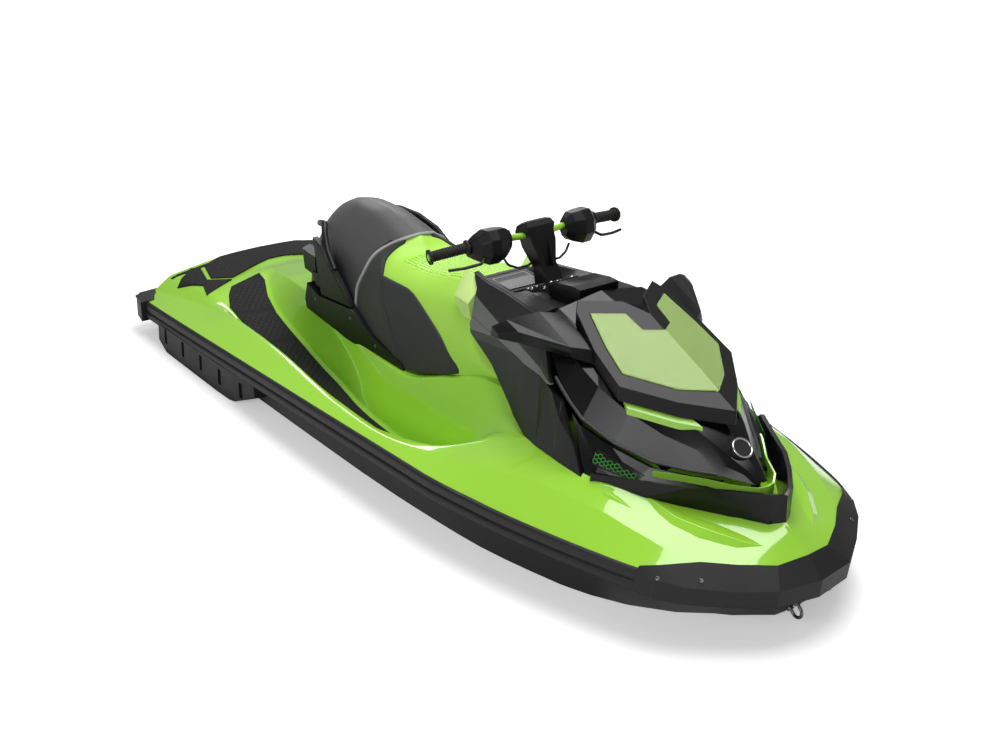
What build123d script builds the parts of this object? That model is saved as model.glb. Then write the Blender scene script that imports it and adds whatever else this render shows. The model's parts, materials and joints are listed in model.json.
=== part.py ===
"""Two-seat jet-driven personal watercraft, modelled afloat.

Frame: +X towards the bow, +Y to port, +Z up.  The origin is amidships on the centreline,
at the waterline; heights in the line tables are measured up from the keel.
Millimetres throughout.
"""
from build123d import *
import math
import os

# ---------------------------------------------------------------- driving dimensions
KEEL_DEPTH = 254.0          # keel below the waterline, empty craft
STERN_X = -1650.0           # aft edge of the boarding platform
TRANSOM_X = -1580.0         # aft face of the hull under the platform
BOW_X = 1632.0              # foremost station of hull and deck, inside the bumper
STATION_PITCH = 110.0       # spacing of the hull and deck sections
PLATFORM_SWEEP = 46.0       # how far the platform's corners lie ahead of its middle

RAIL_HEIGHT = 70.0          # rubbing rail, top to bottom
RAIL_PROUD = 16.0           # rail standing out from the deck edge
RAIL_END_X = 1340.0         # where the rails meet the bow bumper
FLANGE_DROP = 34.0          # hull-to-deck joint below the rail's top
FLANGE_LIP = 26.0           # how far the flange overhangs the hull side
SEAM = 0.3                  # gap between a soft or fitted piece and its seat
CLEARANCE = 6.0             # room kept round everything that moves
MAT_THICKNESS = 6.0

PUMP_HEIGHT = 142.0         # jet axis above the keel
PUMP_BORE = 80.0            # radius of the pump's wear ring
PUMP_WALL = 9.0
PUMP_LENGTH = 300.0
PUMP_FRONT_X = -1140.0
IMPELLER_LENGTH = 110.0
IMPELLER_HUB = 32.0
IMPELLER_TIP_GAP = 5.0
IMPELLER_BLADES = 4
SHAFT_RADIUS = 14.0
OUTLET_RADIUS = 46.0        # fixed outlet cone, where it meets the steering nozzle
NOZZLE_BORE = 54.0
NOZZLE_TIP_BORE = 42.0
NOZZLE_WALL = 6.0
NOZZLE_LENGTH = 98.0
NOZZLE_TAPER = 30.0         # where its bore starts to narrow, aft of the pins
NOZZLE_SETBACK = 5.0        # its front rim aft of the pins
PIVOT_RADIUS = 7.0          # nozzle and reverse gate pins
PIN_CLEARANCE = 0.06
GATE_INNER = 168.0          # radius of the reverse gate about its pins
GATE_WALL = 7.0
GATE_HALF_WIDTH = 108.0
GATE_SPAN = 58.0            # degrees of arc that the gate covers
GATE_REST = 28.0            # degrees above the jet at which it is stowed
TUNNEL_HALF_WIDTH = GATE_HALF_WIDTH + 2 * CLEARANCE
TUNNEL_HEIGHT = PUMP_HEIGHT + GATE_INNER + GATE_WALL + CLEARANCE

ENGINE_SIZE = (620.0, 300.0, 250.0)
ENGINE_X = -190.0
ENGINE_BASE = 92.0         # underside of the engine above the keel
BAY_CLEARANCE = 12.0

BIN_X = (775.0, 1146.0)
BIN_HALF_WIDTH = 154.0
BIN_FLOOR = 390.0
BIN_WALL = 5.0
BIN_LIP = 12.0

BAR_RADIUS = 11.0
GRIP_RADIUS = 17.0
GRIP_FLANGE = 25.0
STEERING_FOOT = (392.0, 941.0)      # x and height where the column's axis meets its base
COLUMN_RAKE = 27.0          # degrees the column leans aft
COLUMN_LENGTH = 172.0
BAR_HALF_SPAN = 383.0
BAR_SWEEP = 58.0            # grip ends aft of the bar's middle
BAR_DROP = 24.0             # grip ends below the bar's middle

HOOD_WALL = 9.0
HOOD_PIVOT = (1368.0, 634.0)        # x and height of the hood's hinge line
HOOD_PIN_RADIUS = 4.0
SCREEN_THICKNESS = 5.0
SCREEN_LIFT = 8.0           # windshield above its frame's seat
FRAME_DEPTH = 46.0
PANEL_WALL = 12.0
APRON_WALL = 13.0

GLOVE_X = (154.0, 286.0)
GLOVE_HALF_WIDTH = 82.0
GLOVE_DEPTH = 120.0
GLOVE_WALL = 4.0
LID_THICKNESS = 9.0

# ---------------------------------------------------------------- lines of the hull
# Each row is a station: x, then half-breadth and/or height above the keel.
KEEL = [(-1650, 0), (500, 0), (800, 8), (1100, 50), (1300, 125), (1450, 215), (1549, 311),
        (1600, 372), (1632, 410)]
CHINE = [(-1650, 500, 250), (-434, 511, 250), (26, 510, 250), (578, 484, 250), (961, 416, 252),
         (1232, 322, 268), (1450, 190, 330), (1549, 112, 378), (1600, 60, 402), (1632, 25, 416)]
KEEL_PAD = [(-1650, 158), (-1100, 158), (-560, 96), (-100, 24), (800, 6), (1632, 3)]
EDGE = [(-1650, 558, 389), (-1602, 567, 392), (-1020, 587, 426), (-234, 597, 464),
        (500, 587, 484), (800, 553, 487), (1000, 512, 486), (1200, 458, 484), (1328, 414, 481),
        (1442, 345, 475), (1544, 248, 466), (1600, 150, 461), (1632, 62, 458)]
TUB = [(-1650, 350), (-1250, 340), (-1000, 300), (450, 300), (800, 350), (1000, 400),
       (1300, 425), (1632, 420)]
SHOULDER = [(-1650, 504, 398), (-1191, 451, 442), (-1000, 462, 466), (-551, 500, 482),
            (-112, 548, 486), (228, 560, 497), (499, 520, 517), (776, 470, 562), (886, 436, 570),
            (1080, 400, 568), (1272, 350, 538), (1442, 276, 499), (1544, 190, 484),
            (1600, 105, 474), (1632, 42, 466)]
GUNWALE = [(-1650, 470, 420), (-1191, 428, 455), (-1000, 437, 468), (-551, 474, 483),
           (-112, 523, 485), (153, 530, 484), (253, 512, 490), (440, 480, 520), (573, 400, 562),
           (757, 345, 606), (1053, 345, 612), (1160, 275, 600), (1264, 200, 583),
           (1384, 110, 571), (1497, 16, 560), (1588, 12, 498), (1632, 8, 468)]
WELL_OUT = [(-1650, 420, 448), (-1300, 405, 462), (-1191, 402, 450), (-1047, 405, 418),
            (-838, 420, 372), (-575, 440, 335), (-194, 480, 330), (153, 492, 330),
            (300, 478, 352), (420, 455, 450), (573, 380, 567), (757, 330, 612),
            (1053, 322, 618), (1160, 250, 606), (1264, 175, 590), (1384, 88, 576),
            (1497, 12, 561), (1588, 9, 499), (1632, 6, 469)]
WELL_IN = [(-1650, 200, 472), (-1420, 150, 480), (-1327, 130, 492), (-1209, 185, 476),
           (-1077, 222, 433), (-838, 238, 374), (-575, 264, 336), (-194, 330, 331),
           (153, 350, 331), (300, 345, 353), (420, 330, 455), (573, 318, 575), (757, 300, 620),
           (1053, 288, 624), (1160, 215, 612), (1264, 140, 598), (1384, 66, 582),
           (1497, 8, 562), (1588, 6, 499), (1632, 4, 470)]
PEDESTAL = [(-1650, 100, 477), (-1420, 96, 484), (-1327, 92, 500), (-1209, 118, 520),
            (-1077, 142, 540), (-838, 176, 552), (-497, 220, 522), (-115, 236, 514),
            (150, 222, 590), (382, 200, 655), (573, 200, 660), (757, 200, 660),
            (1053, 200, 650), (1160, 148, 634), (1264, 92, 615), (1384, 38, 590),
            (1497, 4, 563), (1588, 3, 499), (1632, 2, 471)]


def slopes(xs, ys):
    """Shape-keeping slope at each station: the line never overshoots between two of them."""
    runs = [(y1 - y0) / (x1 - x0) for x0, x1, y0, y1 in zip(xs, xs[1:], ys, ys[1:])]
    inner = [0.0 if a * b <= 0 else 2 * a * b / (a + b) for a, b in zip(runs, runs[1:])]
    return [runs[0]] + inner + [runs[-1]]


def fair(table, x, column=1):
    """A faired value of one column of a line table at x."""
    xs = [row[0] for row in table]
    ys = [row[column] for row in table]
    if x <= xs[0]:
        return float(ys[0])
    if x >= xs[-1]:
        return float(ys[-1])
    tangents = slopes(xs, ys)
    i = max(k for k in range(len(xs) - 1) if xs[k] <= x)
    run = xs[i + 1] - xs[i]
    t = (x - xs[i]) / run
    rise = (2 * t**3 - 3 * t**2 + 1) * ys[i] + (3 * t**2 - 2 * t**3) * ys[i + 1]
    bend = (t**3 - 2 * t**2 + t) * tangents[i] + (t**3 - t**2) * tangents[i + 1]
    return rise + bend * run


def pair(table, x):
    """Half-breadth and height of a line at x."""
    return fair(table, x, 1), fair(table, x, 2)


def above_keel(height):
    """Height above the keel, turned into z above the waterline."""
    return height - KEEL_DEPTH


def point(x, y, height):
    return (x, y, above_keel(height))


# ---------------------------------------------------------------- solids from corner points
def flat(points):
    """True if the points lie in one plane."""
    a, b, c = (Vector(*p) for p in points[:3])
    normal = (b - a).cross(c - a)
    if normal.length < 1e-9:
        return False
    normal = normal.normalized()
    return all(abs((Vector(*p) - a).dot(normal)) < 1e-5 for p in points[3:])


def polygon(points):
    """A face on the points, or triangles where they don't lie in one plane."""
    corners = [p for i, p in enumerate(points) if math.dist(p, points[i - 1]) > 1e-6]
    if len(corners) < 3:
        return []
    if len(corners) == 3 or flat(corners):
        return [Face(Wire.make_polygon(corners, close=True))]
    # The fan starts at the same corner from either side and on either hand, so that the
    # triangles of two pieces that share a patch are the same.
    first = min(range(len(corners)), key=lambda i: [round(v, 3) for v in
                                                    (corners[i][0], abs(corners[i][1]), corners[i][2])])
    corners = corners[first:] + corners[:first]
    return [f for i in range(1, len(corners) - 1)
            for f in polygon([corners[0], corners[i], corners[i + 1]])]


def solid_of(faces):
    body = Solid(Shell(faces))
    return body if body.volume > 0 else Solid(Shell([-f for f in faces]))


def skin(rings):
    """A solid through a row of rings with equal numbers of corners."""
    faces = polygon(rings[0]) + polygon(rings[-1])
    for near, far in zip(rings, rings[1:]):
        for i in range(len(near)):
            j = (i + 1) % len(near)
            faces += polygon([near[i], near[j], far[j], far[i]])
    return solid_of(faces)


def whole_ring(x, half):
    """A full section from its starboard-to-port half, given as (y, height) from the centre out
    and back to the centre."""
    port = [point(x, y, h) for y, h in half]
    starboard = [point(x, -y, h) for y, h in reversed(half) if y > 1e-6]
    return port + starboard


def both_sides(body):
    return Compound(children=[body, mirror(body, about=Plane.XZ)])


def stations(start, end, pitch=STATION_PITCH):
    count = max(1, math.ceil((end - start) / pitch))
    return [start + (end - start) * i / count for i in range(count + 1)]


def box(x, y, height):
    """A box between (low, high) pairs of x, y and height above the keel."""
    size = [pair_[1] - pair_[0] for pair_ in (x, y, height)]
    centre = [(pair_[1] + pair_[0]) / 2 for pair_ in (x, y, height)]
    return Pos(centre[0], centre[1], above_keel(centre[2])) * Box(*size)


def prism_y(outline, low, high):
    """A side-view outline of (x, height) corners, standing between two values of y."""
    near = [point(x, low, h) for x, h in outline]
    far = [point(x, high, h) for x, h in outline]
    return skin([near, far])


def prism_z(outline, low, high):
    """A plan outline of (x, y) corners, standing between two heights."""
    near = [point(x, y, low) for x, y in outline]
    far = [point(x, y, high) for x, y in outline]
    return skin([near, far])


def rod(start, end, radius):
    """A round bar between two points."""
    axis = Vector(*end) - Vector(*start)
    return Plane(origin=start, z_dir=axis) * Cylinder(
        radius, axis.length, align=(Align.CENTER, Align.CENTER, Align.MIN))


def tube_along(points, radius, bend):
    """A round tube on a path of straight runs and tangent arcs."""
    bends = [bend] * (len(points) - 2) if isinstance(bend, (int, float)) else bend
    path = FilletPolyline(*points, radius=bends)
    start = path @ 0
    return sweep(Plane(origin=start, z_dir=path % 0) * Circle(radius), path=path)


def one(shape):
    """The largest solid of a cut's result."""
    return max(shape.solids(), key=lambda s: s.volume)


def solids(shape):
    """Every solid of a cut's result that is more than a sliver."""
    return Compound(children=[s for s in shape.solids() if s.volume > 50])


# ---------------------------------------------------------------- hull and deck
def joint_height(x):
    """Height of the hull-to-deck joint at the craft's edge."""
    return fair(EDGE, x, 2) - FLANGE_DROP


def rail_foot(x):
    return fair(EDGE, x, 2) - RAIL_HEIGHT


def joint_lines(x):
    """The joint from the craft's edge to the centreline, under the footwells."""
    edge = fair(EDGE, x)
    tub = min(fair(TUB, x), joint_height(x))
    return [(edge * 0.905, joint_height(x)), (edge * 0.87, tub), (0.0, tub)]


def hull_ring(x):
    edge = fair(EDGE, x)
    side = edge - min(FLANGE_LIP, 0.3 * edge)
    keel = fair(KEEL, x)
    half = [(0.0, keel), (fair(KEEL_PAD, x), keel), pair(CHINE, x), (side, rail_foot(x)),
            (edge, rail_foot(x)), (edge, joint_height(x))] + joint_lines(x)
    return whole_ring(x, half)


def deck_lines(x):
    """Top of the deck from the craft's edge to the centreline."""
    edge = pair(EDGE, x)
    crown = fair(PEDESTAL, x, 2) + 2.0
    return [edge, pair(SHOULDER, x), pair(GUNWALE, x), pair(WELL_OUT, x), pair(WELL_IN, x),
            pair(PEDESTAL, x), (0.0, crown)]


def deck_ring(x, lift=0.0):
    top = [(y, h + lift) for y, h in deck_lines(x)]
    edge = fair(EDGE, x)
    under = [(edge, joint_height(x))] + joint_lines(x)
    half = list(reversed(under)) + top
    return whole_ring(x, half)


hull_blank = skin([hull_ring(x) for x in stations(TRANSOM_X, BOW_X)])
deck_blank = skin([deck_ring(x) for x in [STERN_X] + stations(TRANSOM_X, BOW_X)])

# The platform's aft edge is swept forward towards its corners.
sweep_far = fair(EDGE, STERN_X) + 40.0
sweep_cut = prism_z([(STERN_X, 160.0), (STERN_X - 60.0, 160.0), (STERN_X - 60.0, sweep_far),
                     (STERN_X + PLATFORM_SWEEP, sweep_far),
                     (STERN_X + PLATFORM_SWEEP * 0.8, 520.0), (STERN_X + PLATFORM_SWEEP * 0.4, 380.0)],
                    300.0, 560.0)
for side_cut in (sweep_cut, mirror(sweep_cut, about=Plane.XZ)):
    deck_blank = deck_blank - side_cut

# Engine bay, closed by the deck; the engine stands on its floor.
bay_x = [ENGINE_X + side * (ENGINE_SIZE[0] / 2 + BAY_CLEARANCE) for side in (-1, 1)]
bay_y = [side * (ENGINE_SIZE[1] / 2 + BAY_CLEARANCE) for side in (-1, 1)]
bay = box(bay_x, bay_y, (ENGINE_BASE, ENGINE_BASE + ENGINE_SIZE[2] + BAY_CLEARANCE))
engine_block = box([ENGINE_X - ENGINE_SIZE[0] / 2, ENGINE_X + ENGINE_SIZE[0] / 2],
                   [-ENGINE_SIZE[1] / 2, ENGINE_SIZE[1] / 2],
                   (ENGINE_BASE, ENGINE_BASE + ENGINE_SIZE[2]))

# Jet tunnel: a recess in the stern for the nozzle and reverse gate, and a duct for the pump.
pump_aft_x = PUMP_FRONT_X - PUMP_LENGTH
recess_x = (TRANSOM_X - 20.0, pump_aft_x + 66.0)
recess = box(recess_x, (-TUNNEL_HALF_WIDTH, TUNNEL_HALF_WIDTH), (-20.0, TUNNEL_HEIGHT))
pump_outer = PUMP_BORE + PUMP_WALL
pump_room = rod(point(recess_x[1] - 10.0, 0, PUMP_HEIGHT), point(PUMP_FRONT_X, 0, PUMP_HEIGHT),
                pump_outer + SEAM)
shaft_room = rod(point(PUMP_FRONT_X - 10.0, 0, PUMP_HEIGHT), point(bay_x[0] + 10.0, 0, PUMP_HEIGHT),
                 SHAFT_RADIUS + CLEARANCE)

DUCT_LENGTH = 620.0
DUCT_HALF_WIDTH = 76.0
duct = prism_y([(PUMP_FRONT_X - 2.0, PUMP_HEIGHT + DUCT_HALF_WIDTH - 8.0),
                (PUMP_FRONT_X - 2.0, -20.0), (PUMP_FRONT_X + DUCT_LENGTH, -20.0),
                (PUMP_FRONT_X + DUCT_LENGTH * 0.9, 30.0),
                (PUMP_FRONT_X + DUCT_LENGTH * 0.35, PUMP_HEIGHT + DUCT_HALF_WIDTH * 0.5)],
               -DUCT_HALF_WIDTH, DUCT_HALF_WIDTH)

# Forward storage well under the hood, and the glove box well in the console.
bin_outer = box(BIN_X, (-BIN_HALF_WIDTH, BIN_HALF_WIDTH), (BIN_FLOOR, 760.0))

hull = one(hull_blank - bay - recess - pump_room - shaft_room - duct - bin_outer)
deck = one(deck_blank - bay - bin_outer)

# ---------------------------------------------------------------- rails, bumper and caps
RAIL_SECTION = [(0.0, 0.0), (0.70, 0.03), (1.0, 0.16), (1.0, 0.44), (0.62, 0.50), (1.0, 0.56),
                (1.0, 0.90), (0.8, 1.0), (0.0, 1.0)]


def rail_ring(x):
    """Two bands with a groove between: (share of the rail's width, share of its height down)."""
    edge, top = pair(EDGE, x)
    return [point(x, edge + out * RAIL_PROUD, top - down * RAIL_HEIGHT) for out, down in RAIL_SECTION]


deck_stations = [x for x in [STERN_X] + stations(TRANSOM_X, BOW_X)]
CAP_LENGTH = 130.0
rail_start = STERN_X + CAP_LENGTH
rail_x = [rail_start] + [x for x in deck_stations if rail_start < x < RAIL_END_X] + [RAIL_END_X]
rail_port = skin([rail_ring(x) for x in rail_x]) - deck - hull
side_rails = both_sides(one(rail_port))

# The bumper wraps the stem; its top facet slopes out to a knuckle, then it drops to its foot.
# Inside its top line the deck ends at a step, which the bumper fills.
BUMPER = [  # inner top, knuckle, lower edge, foot: x, y, height of each, from the stem aft
    ((1590, 0, 504), (1652, 0, 452), (1646, 0, 394), (1598, 0, 372)),
    ((1571, 100, 494), (1626, 140, 450), (1618, 142, 392), (1568, 130, 372)),
    ((1510, 196, 500), (1546, 256, 450), (1538, 256, 394), (1496, 220, 374)),
    ((1442, 276, 504), (1466, 350, 458), (1460, 350, 400), (1424, 310, 382)),
    ((1378, 370, 495), (1398, 402, 466), (1396, 402, 404), (1384, 356, 396)),
    ((RAIL_END_X, 408, 488), (RAIL_END_X, 426, 472), (RAIL_END_X, 426, 410), (RAIL_END_X, 385, 404))]


def bumper_ring(corners, side=1):
    (top_x, top_y, _), foot_h = corners[0], corners[3][2]
    outer = [point(x, side * y, h) for x, y, h in corners]
    return outer + [point(top_x, side * top_y, foot_h)]


def bumper_step_ring(corners, side=1):
    """The room outside the bumper's top line, well past the deck's edge."""
    (top_x, top_y, _), foot_h = corners[0], corners[3][2]
    reach = 1.25 if top_y > 0 else 1.0
    far = (top_x + 90.0, side * top_y * reach)
    return [point(top_x, side * top_y, foot_h), point(*far, foot_h), point(*far, 560.0),
            point(top_x, side * top_y, 560.0)]


def around_bow(ring_of, rows):
    return skin([ring_of(c, 1) for c in reversed(rows)] + [ring_of(c, -1) for c in rows[1:]])


deck = one(deck - around_bow(bumper_step_ring, BUMPER))
bow_bumper = one(around_bow(bumper_ring, BUMPER) - hull - deck)

# Corner caps close the rails at the stern.
cap_port = prism_z([(STERN_X + CAP_LENGTH - 1.0, 545.0), (STERN_X + CAP_LENGTH - 1.0, 606.0),
                    (STERN_X + 52.0, 590.0), (STERN_X + 22.0, 560.0), (STERN_X + 10.0, 440.0),
                    (STERN_X + 60.0, 440.0), (STERN_X + 74.0, 520.0)], 318.0, 402.0)
stern_caps = both_sides(one(cap_port - deck - hull - rail_port))

# ---------------------------------------------------------------- sponsons, plate and grate
SPONSON_X = (-1385.0, -590.0)
SPONSON_SLOTS = 5
sponson_blank = skin([
    [point(-1385, 470, 345), point(-1385, 596, 350), point(-1385, 598, 285), point(-1385, 500, 262)],
    [point(-1280, 470, 352), point(-1280, 600, 356), point(-1280, 604, 240), point(-1280, 490, 232)],
    [point(-860, 470, 366), point(-860, 606, 370), point(-860, 610, 236), point(-860, 490, 228)],
    [point(-720, 470, 372), point(-720, 606, 374), point(-720, 606, 262), point(-720, 490, 254)],
    [point(-590, 470, 376), point(-590, 592, 378), point(-590, 590, 318), point(-590, 500, 310)]])
sponson_port = sponson_blank - hull - rail_port
for i in range(SPONSON_SLOTS):
    slot_x = SPONSON_X[0] + (SPONSON_X[1] - SPONSON_X[0]) * (i + 0.45) / SPONSON_SLOTS
    sponson_port = sponson_port - box((slot_x - 11.0, slot_x + 11.0), (592.0, 640.0), (290.0, 352.0))
sponsons = both_sides(one(sponson_port))

PLATE_THICKNESS = 10.0
plate_x = (recess_x[0] + 60.0, PUMP_FRONT_X + 20.0)
plate_half = fair(KEEL_PAD, STERN_X) - 4.0
ride_plate = prism_z([(plate_x[0], -plate_half * 0.8), (plate_x[1], -plate_half),
                      (plate_x[1], plate_half), (plate_x[0], plate_half * 0.8)],
                     -PLATE_THICKNESS, 0.0) - duct

GRATE_BARS = 3
grate_x = (PUMP_FRONT_X + 26.0, PUMP_FRONT_X + DUCT_LENGTH * 0.86)
grate_rim = box(grate_x, (-DUCT_HALF_WIDTH + SEAM, DUCT_HALF_WIDTH - SEAM), (0.0, 9.0))
grate_rim = grate_rim - box((grate_x[0] + 14.0, grate_x[1] - 40.0),
                            (-DUCT_HALF_WIDTH + 14.0, DUCT_HALF_WIDTH - 14.0), (-5.0, 20.0))
intake_grate = grate_rim
for i in range(GRATE_BARS):
    bar_y = (i - (GRATE_BARS - 1) / 2) * 2 * (DUCT_HALF_WIDTH - 14.0) / (GRATE_BARS + 1)
    intake_grate = intake_grate + box(grate_x, (bar_y - 4.0, bar_y + 4.0), (0.0, 9.0))
intake_grate = one(intake_grate - hull)

# ---------------------------------------------------------------- pump, nozzle and gate


def turned(profile, centre_z=above_keel(PUMP_HEIGHT)):
    """A ring turned about the jet axis from (x, radius) corners."""
    corners = [(x, 0, centre_z + r) for x, r in profile]
    face = Face(Wire.make_polygon(corners, close=True))
    return revolve(face, axis=Axis((0, 0, centre_z), (1, 0, 0)))


hinge_x = pump_aft_x - 46.0                     # the nozzle's and gate's pins
pump_housing = turned([(PUMP_FRONT_X, PUMP_BORE), (PUMP_FRONT_X, pump_outer),
                       (pump_aft_x + 120.0, pump_outer), (pump_aft_x, OUTLET_RADIUS + PUMP_WALL),
                       (hinge_x + 22.0, OUTLET_RADIUS + PUMP_WALL), (hinge_x + 22.0, OUTLET_RADIUS),
                       (pump_aft_x, OUTLET_RADIUS), (pump_aft_x + 110.0, PUMP_BORE)])
# Steering lugs above and below the jet, and gate arms' bosses at its sides.
lug_radius = 2.2 * PIVOT_RADIUS
lug_low = NOZZLE_BORE + NOZZLE_WALL + 2.0 + 6.0 + 1.0
for up in (-1, 1):
    lug = box((hinge_x - lug_radius, pump_aft_x + 60.0), (-lug_radius, lug_radius),
              sorted((PUMP_HEIGHT + up * lug_low, PUMP_HEIGHT + up * (lug_low + 10.0))))
    web = box((pump_aft_x + 10.0, pump_aft_x + 60.0), (-lug_radius, lug_radius),
              sorted((PUMP_HEIGHT + up * (OUTLET_RADIUS + 6.0), PUMP_HEIGHT + up * (lug_low + 10.0))))
    pump_housing = pump_housing + lug + web
gate_arm_inner = GATE_HALF_WIDTH - GATE_WALL
boss_end = gate_arm_inner - 1.0
for side in (-1, 1):
    arm = box((hinge_x - 14.0, pump_aft_x + 60.0),
              sorted((side * (boss_end - 9.0), side * boss_end)), (PUMP_HEIGHT - 14.0, PUMP_HEIGHT + 14.0))
    foot = box((pump_aft_x + 20.0, pump_aft_x + 60.0),
               sorted((side * (OUTLET_RADIUS + 14.0), side * boss_end)),
               (PUMP_HEIGHT - 14.0, PUMP_HEIGHT + 14.0))
    pump_housing = pump_housing + arm + foot
    pump_housing = pump_housing + rod((hinge_x, side * (boss_end - 6.0), above_keel(PUMP_HEIGHT)),
                                      (hinge_x, side * (GATE_HALF_WIDTH + 4.0), above_keel(PUMP_HEIGHT)),
                                      PIVOT_RADIUS)
bore_cut = turned([(PUMP_FRONT_X + 1.0, 0.0), (PUMP_FRONT_X + 1.0, PUMP_BORE),
                   (pump_aft_x + 110.0, PUMP_BORE), (pump_aft_x, OUTLET_RADIUS),
                   (hinge_x, OUTLET_RADIUS), (hinge_x, 0.0)])
for up in (-1, 1):
    pump_housing = pump_housing - rod(
        (hinge_x, 0, above_keel(PUMP_HEIGHT + up * (lug_low - 1.0))),
        (hinge_x, 0, above_keel(PUMP_HEIGHT + up * (lug_low + 11.0))), PIVOT_RADIUS + PIN_CLEARANCE)
pump_housing = one(pump_housing - bore_cut)

# Stator: a fixed hub behind the impeller, on vanes, that carries the shaft's aft end.
impeller_front = PUMP_FRONT_X - 40.0
impeller_aft = impeller_front - IMPELLER_LENGTH
STATOR_LENGTH = 60.0
STATOR_TAIL = 44.0
STATOR_VANES = 6
STATOR_BORE_DEPTH = 40.0
SHAFT_END_GAP = 4.0
stator_front = impeller_aft - CLEARANCE
stator_aft = stator_front - STATOR_LENGTH
stator = turned([(stator_front, 0.0), (stator_front, IMPELLER_HUB), (stator_aft, IMPELLER_HUB),
                 (stator_aft - STATOR_TAIL, 10.0), (stator_aft - STATOR_TAIL, 0.0)])
for k in range(STATOR_VANES):
    vane = box((stator_aft, stator_front), (IMPELLER_HUB - 4.0, PUMP_BORE + 2.0), (-2.5, 2.5))
    vane = Pos(0, 0, above_keel(PUMP_HEIGHT)) * Rot(360.0 / STATOR_VANES * k, 0, 0) * Pos(
        0, 0, -above_keel(0.0)) * vane
    stator = stator + vane
stator = stator - rod(point(stator_front + 1.0, 0, PUMP_HEIGHT),
                      point(stator_front - STATOR_BORE_DEPTH, 0, PUMP_HEIGHT), SHAFT_RADIUS + PIN_CLEARANCE)
pump_housing = one(pump_housing + stator)

# The nozzle's front rim stays short of its pins, so that it clears the outlet as it swings.
nozzle_outer = [(hinge_x - NOZZLE_SETBACK, NOZZLE_BORE + NOZZLE_WALL),
                (hinge_x - NOZZLE_TAPER, NOZZLE_BORE + NOZZLE_WALL),
                (hinge_x - NOZZLE_LENGTH, NOZZLE_TIP_BORE + NOZZLE_WALL)]
nozzle_inner = [(hinge_x - NOZZLE_LENGTH, NOZZLE_TIP_BORE), (hinge_x - NOZZLE_TAPER, NOZZLE_BORE - 4.0),
                (hinge_x - NOZZLE_TAPER / 2, NOZZLE_BORE + 2.0),
                (hinge_x - NOZZLE_SETBACK, NOZZLE_BORE + 2.0)]
steering_nozzle = turned(nozzle_outer + nozzle_inner)
for up in (-1, 1):
    pin = rod((hinge_x, 0, above_keel(PUMP_HEIGHT + up * (NOZZLE_BORE + 3.0))),
              (hinge_x, 0, above_keel(PUMP_HEIGHT + up * (lug_low + 12.0))), PIVOT_RADIUS)
    boss = rod((hinge_x, 0, above_keel(PUMP_HEIGHT + up * (NOZZLE_BORE + 3.0))),
               (hinge_x, 0, above_keel(PUMP_HEIGHT + up * (lug_low - 1.0))), lug_radius - 1.0)
    steering_nozzle = steering_nozzle + pin + boss
steering_nozzle = one(steering_nozzle)


def arc_points(radius, start, end, count=9):
    """Side-view points on an arc about the gate's pins, angles up from dead astern."""
    return [(hinge_x - radius * math.cos(math.radians(a)), PUMP_HEIGHT + radius * math.sin(math.radians(a)))
            for a in [start + (end - start) * i / (count - 1) for i in range(count)]]


gate_end = GATE_REST + GATE_SPAN
bucket = prism_y(arc_points(GATE_INNER + GATE_WALL, GATE_REST, gate_end)
                 + list(reversed(arc_points(GATE_INNER, GATE_REST, gate_end))),
                 -GATE_HALF_WIDTH, GATE_HALF_WIDTH)
cheek_outline = ([(hinge_x + 15.0, PUMP_HEIGHT - 15.0), (hinge_x - 15.0, PUMP_HEIGHT - 15.0)]
                 + arc_points(GATE_INNER + 1.0, GATE_REST, gate_end) + [(hinge_x + 15.0, PUMP_HEIGHT + 15.0)])
reverse_gate = bucket
for side in (-1, 1):
    cheek = prism_y(cheek_outline, *sorted((side * gate_arm_inner, side * GATE_HALF_WIDTH)))
    reverse_gate = reverse_gate + cheek
reverse_gate = reverse_gate - rod((hinge_x, -GATE_HALF_WIDTH - 9.0, above_keel(PUMP_HEIGHT)),
                                  (hinge_x, GATE_HALF_WIDTH + 9.0, above_keel(PUMP_HEIGHT)),
                                  PIVOT_RADIUS + PIN_CLEARANCE)
reverse_gate = one(reverse_gate)

# Impeller: hub, blades and the drive shaft from the engine, one turning piece.
hub = rod(point(impeller_aft, 0, PUMP_HEIGHT), point(impeller_front, 0, PUMP_HEIGHT), IMPELLER_HUB)
shaft = rod(point(stator_front - STATOR_BORE_DEPTH + SHAFT_END_GAP, 0, PUMP_HEIGHT),
            point(bay_x[0] + BAY_CLEARANCE - 2.0, 0, PUMP_HEIGHT), SHAFT_RADIUS)
impeller = hub + shaft
blade_tip = PUMP_BORE - IMPELLER_TIP_GAP
BLADE_TWIST = 70.0
for k in range(IMPELLER_BLADES):
    rings = []
    for i in range(6):
        share = i / 5
        x = impeller_front - 8.0 - (IMPELLER_LENGTH - 16.0) * share
        turn = math.radians(360.0 / IMPELLER_BLADES * k + BLADE_TWIST * share)
        across = math.radians(4.0)
        ring = []
        for radius, lean in ((IMPELLER_HUB - 6.0, -across), (blade_tip, -across * 0.5),
                             (blade_tip, across * 0.5), (IMPELLER_HUB - 6.0, across)):
            ring.append((x, radius * math.cos(turn + lean),
                         above_keel(PUMP_HEIGHT) + radius * math.sin(turn + lean)))
        rings.append(ring)
    impeller = impeller + skin(rings)
impeller = one(impeller)

# ---------------------------------------------------------------- tow eyes
EYE_BAR = 5.0               # radius of the round bar
EYE_HALF_WIDTH = 19.0       # bar's middle from the loop's middle
EYE_REACH = 36.0            # how far the loop's crown stands off the hull
EYE_ROOT = 22.0             # how deep its legs go into the hull
EYE_FLANGE = 11.0
EYE_FLANGE_THICKNESS = 4.0
BOW_EYE_HEIGHT = 318.0
STERN_EYE_Y = 330.0
STERN_EYE_HEIGHT = 296.0


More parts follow.
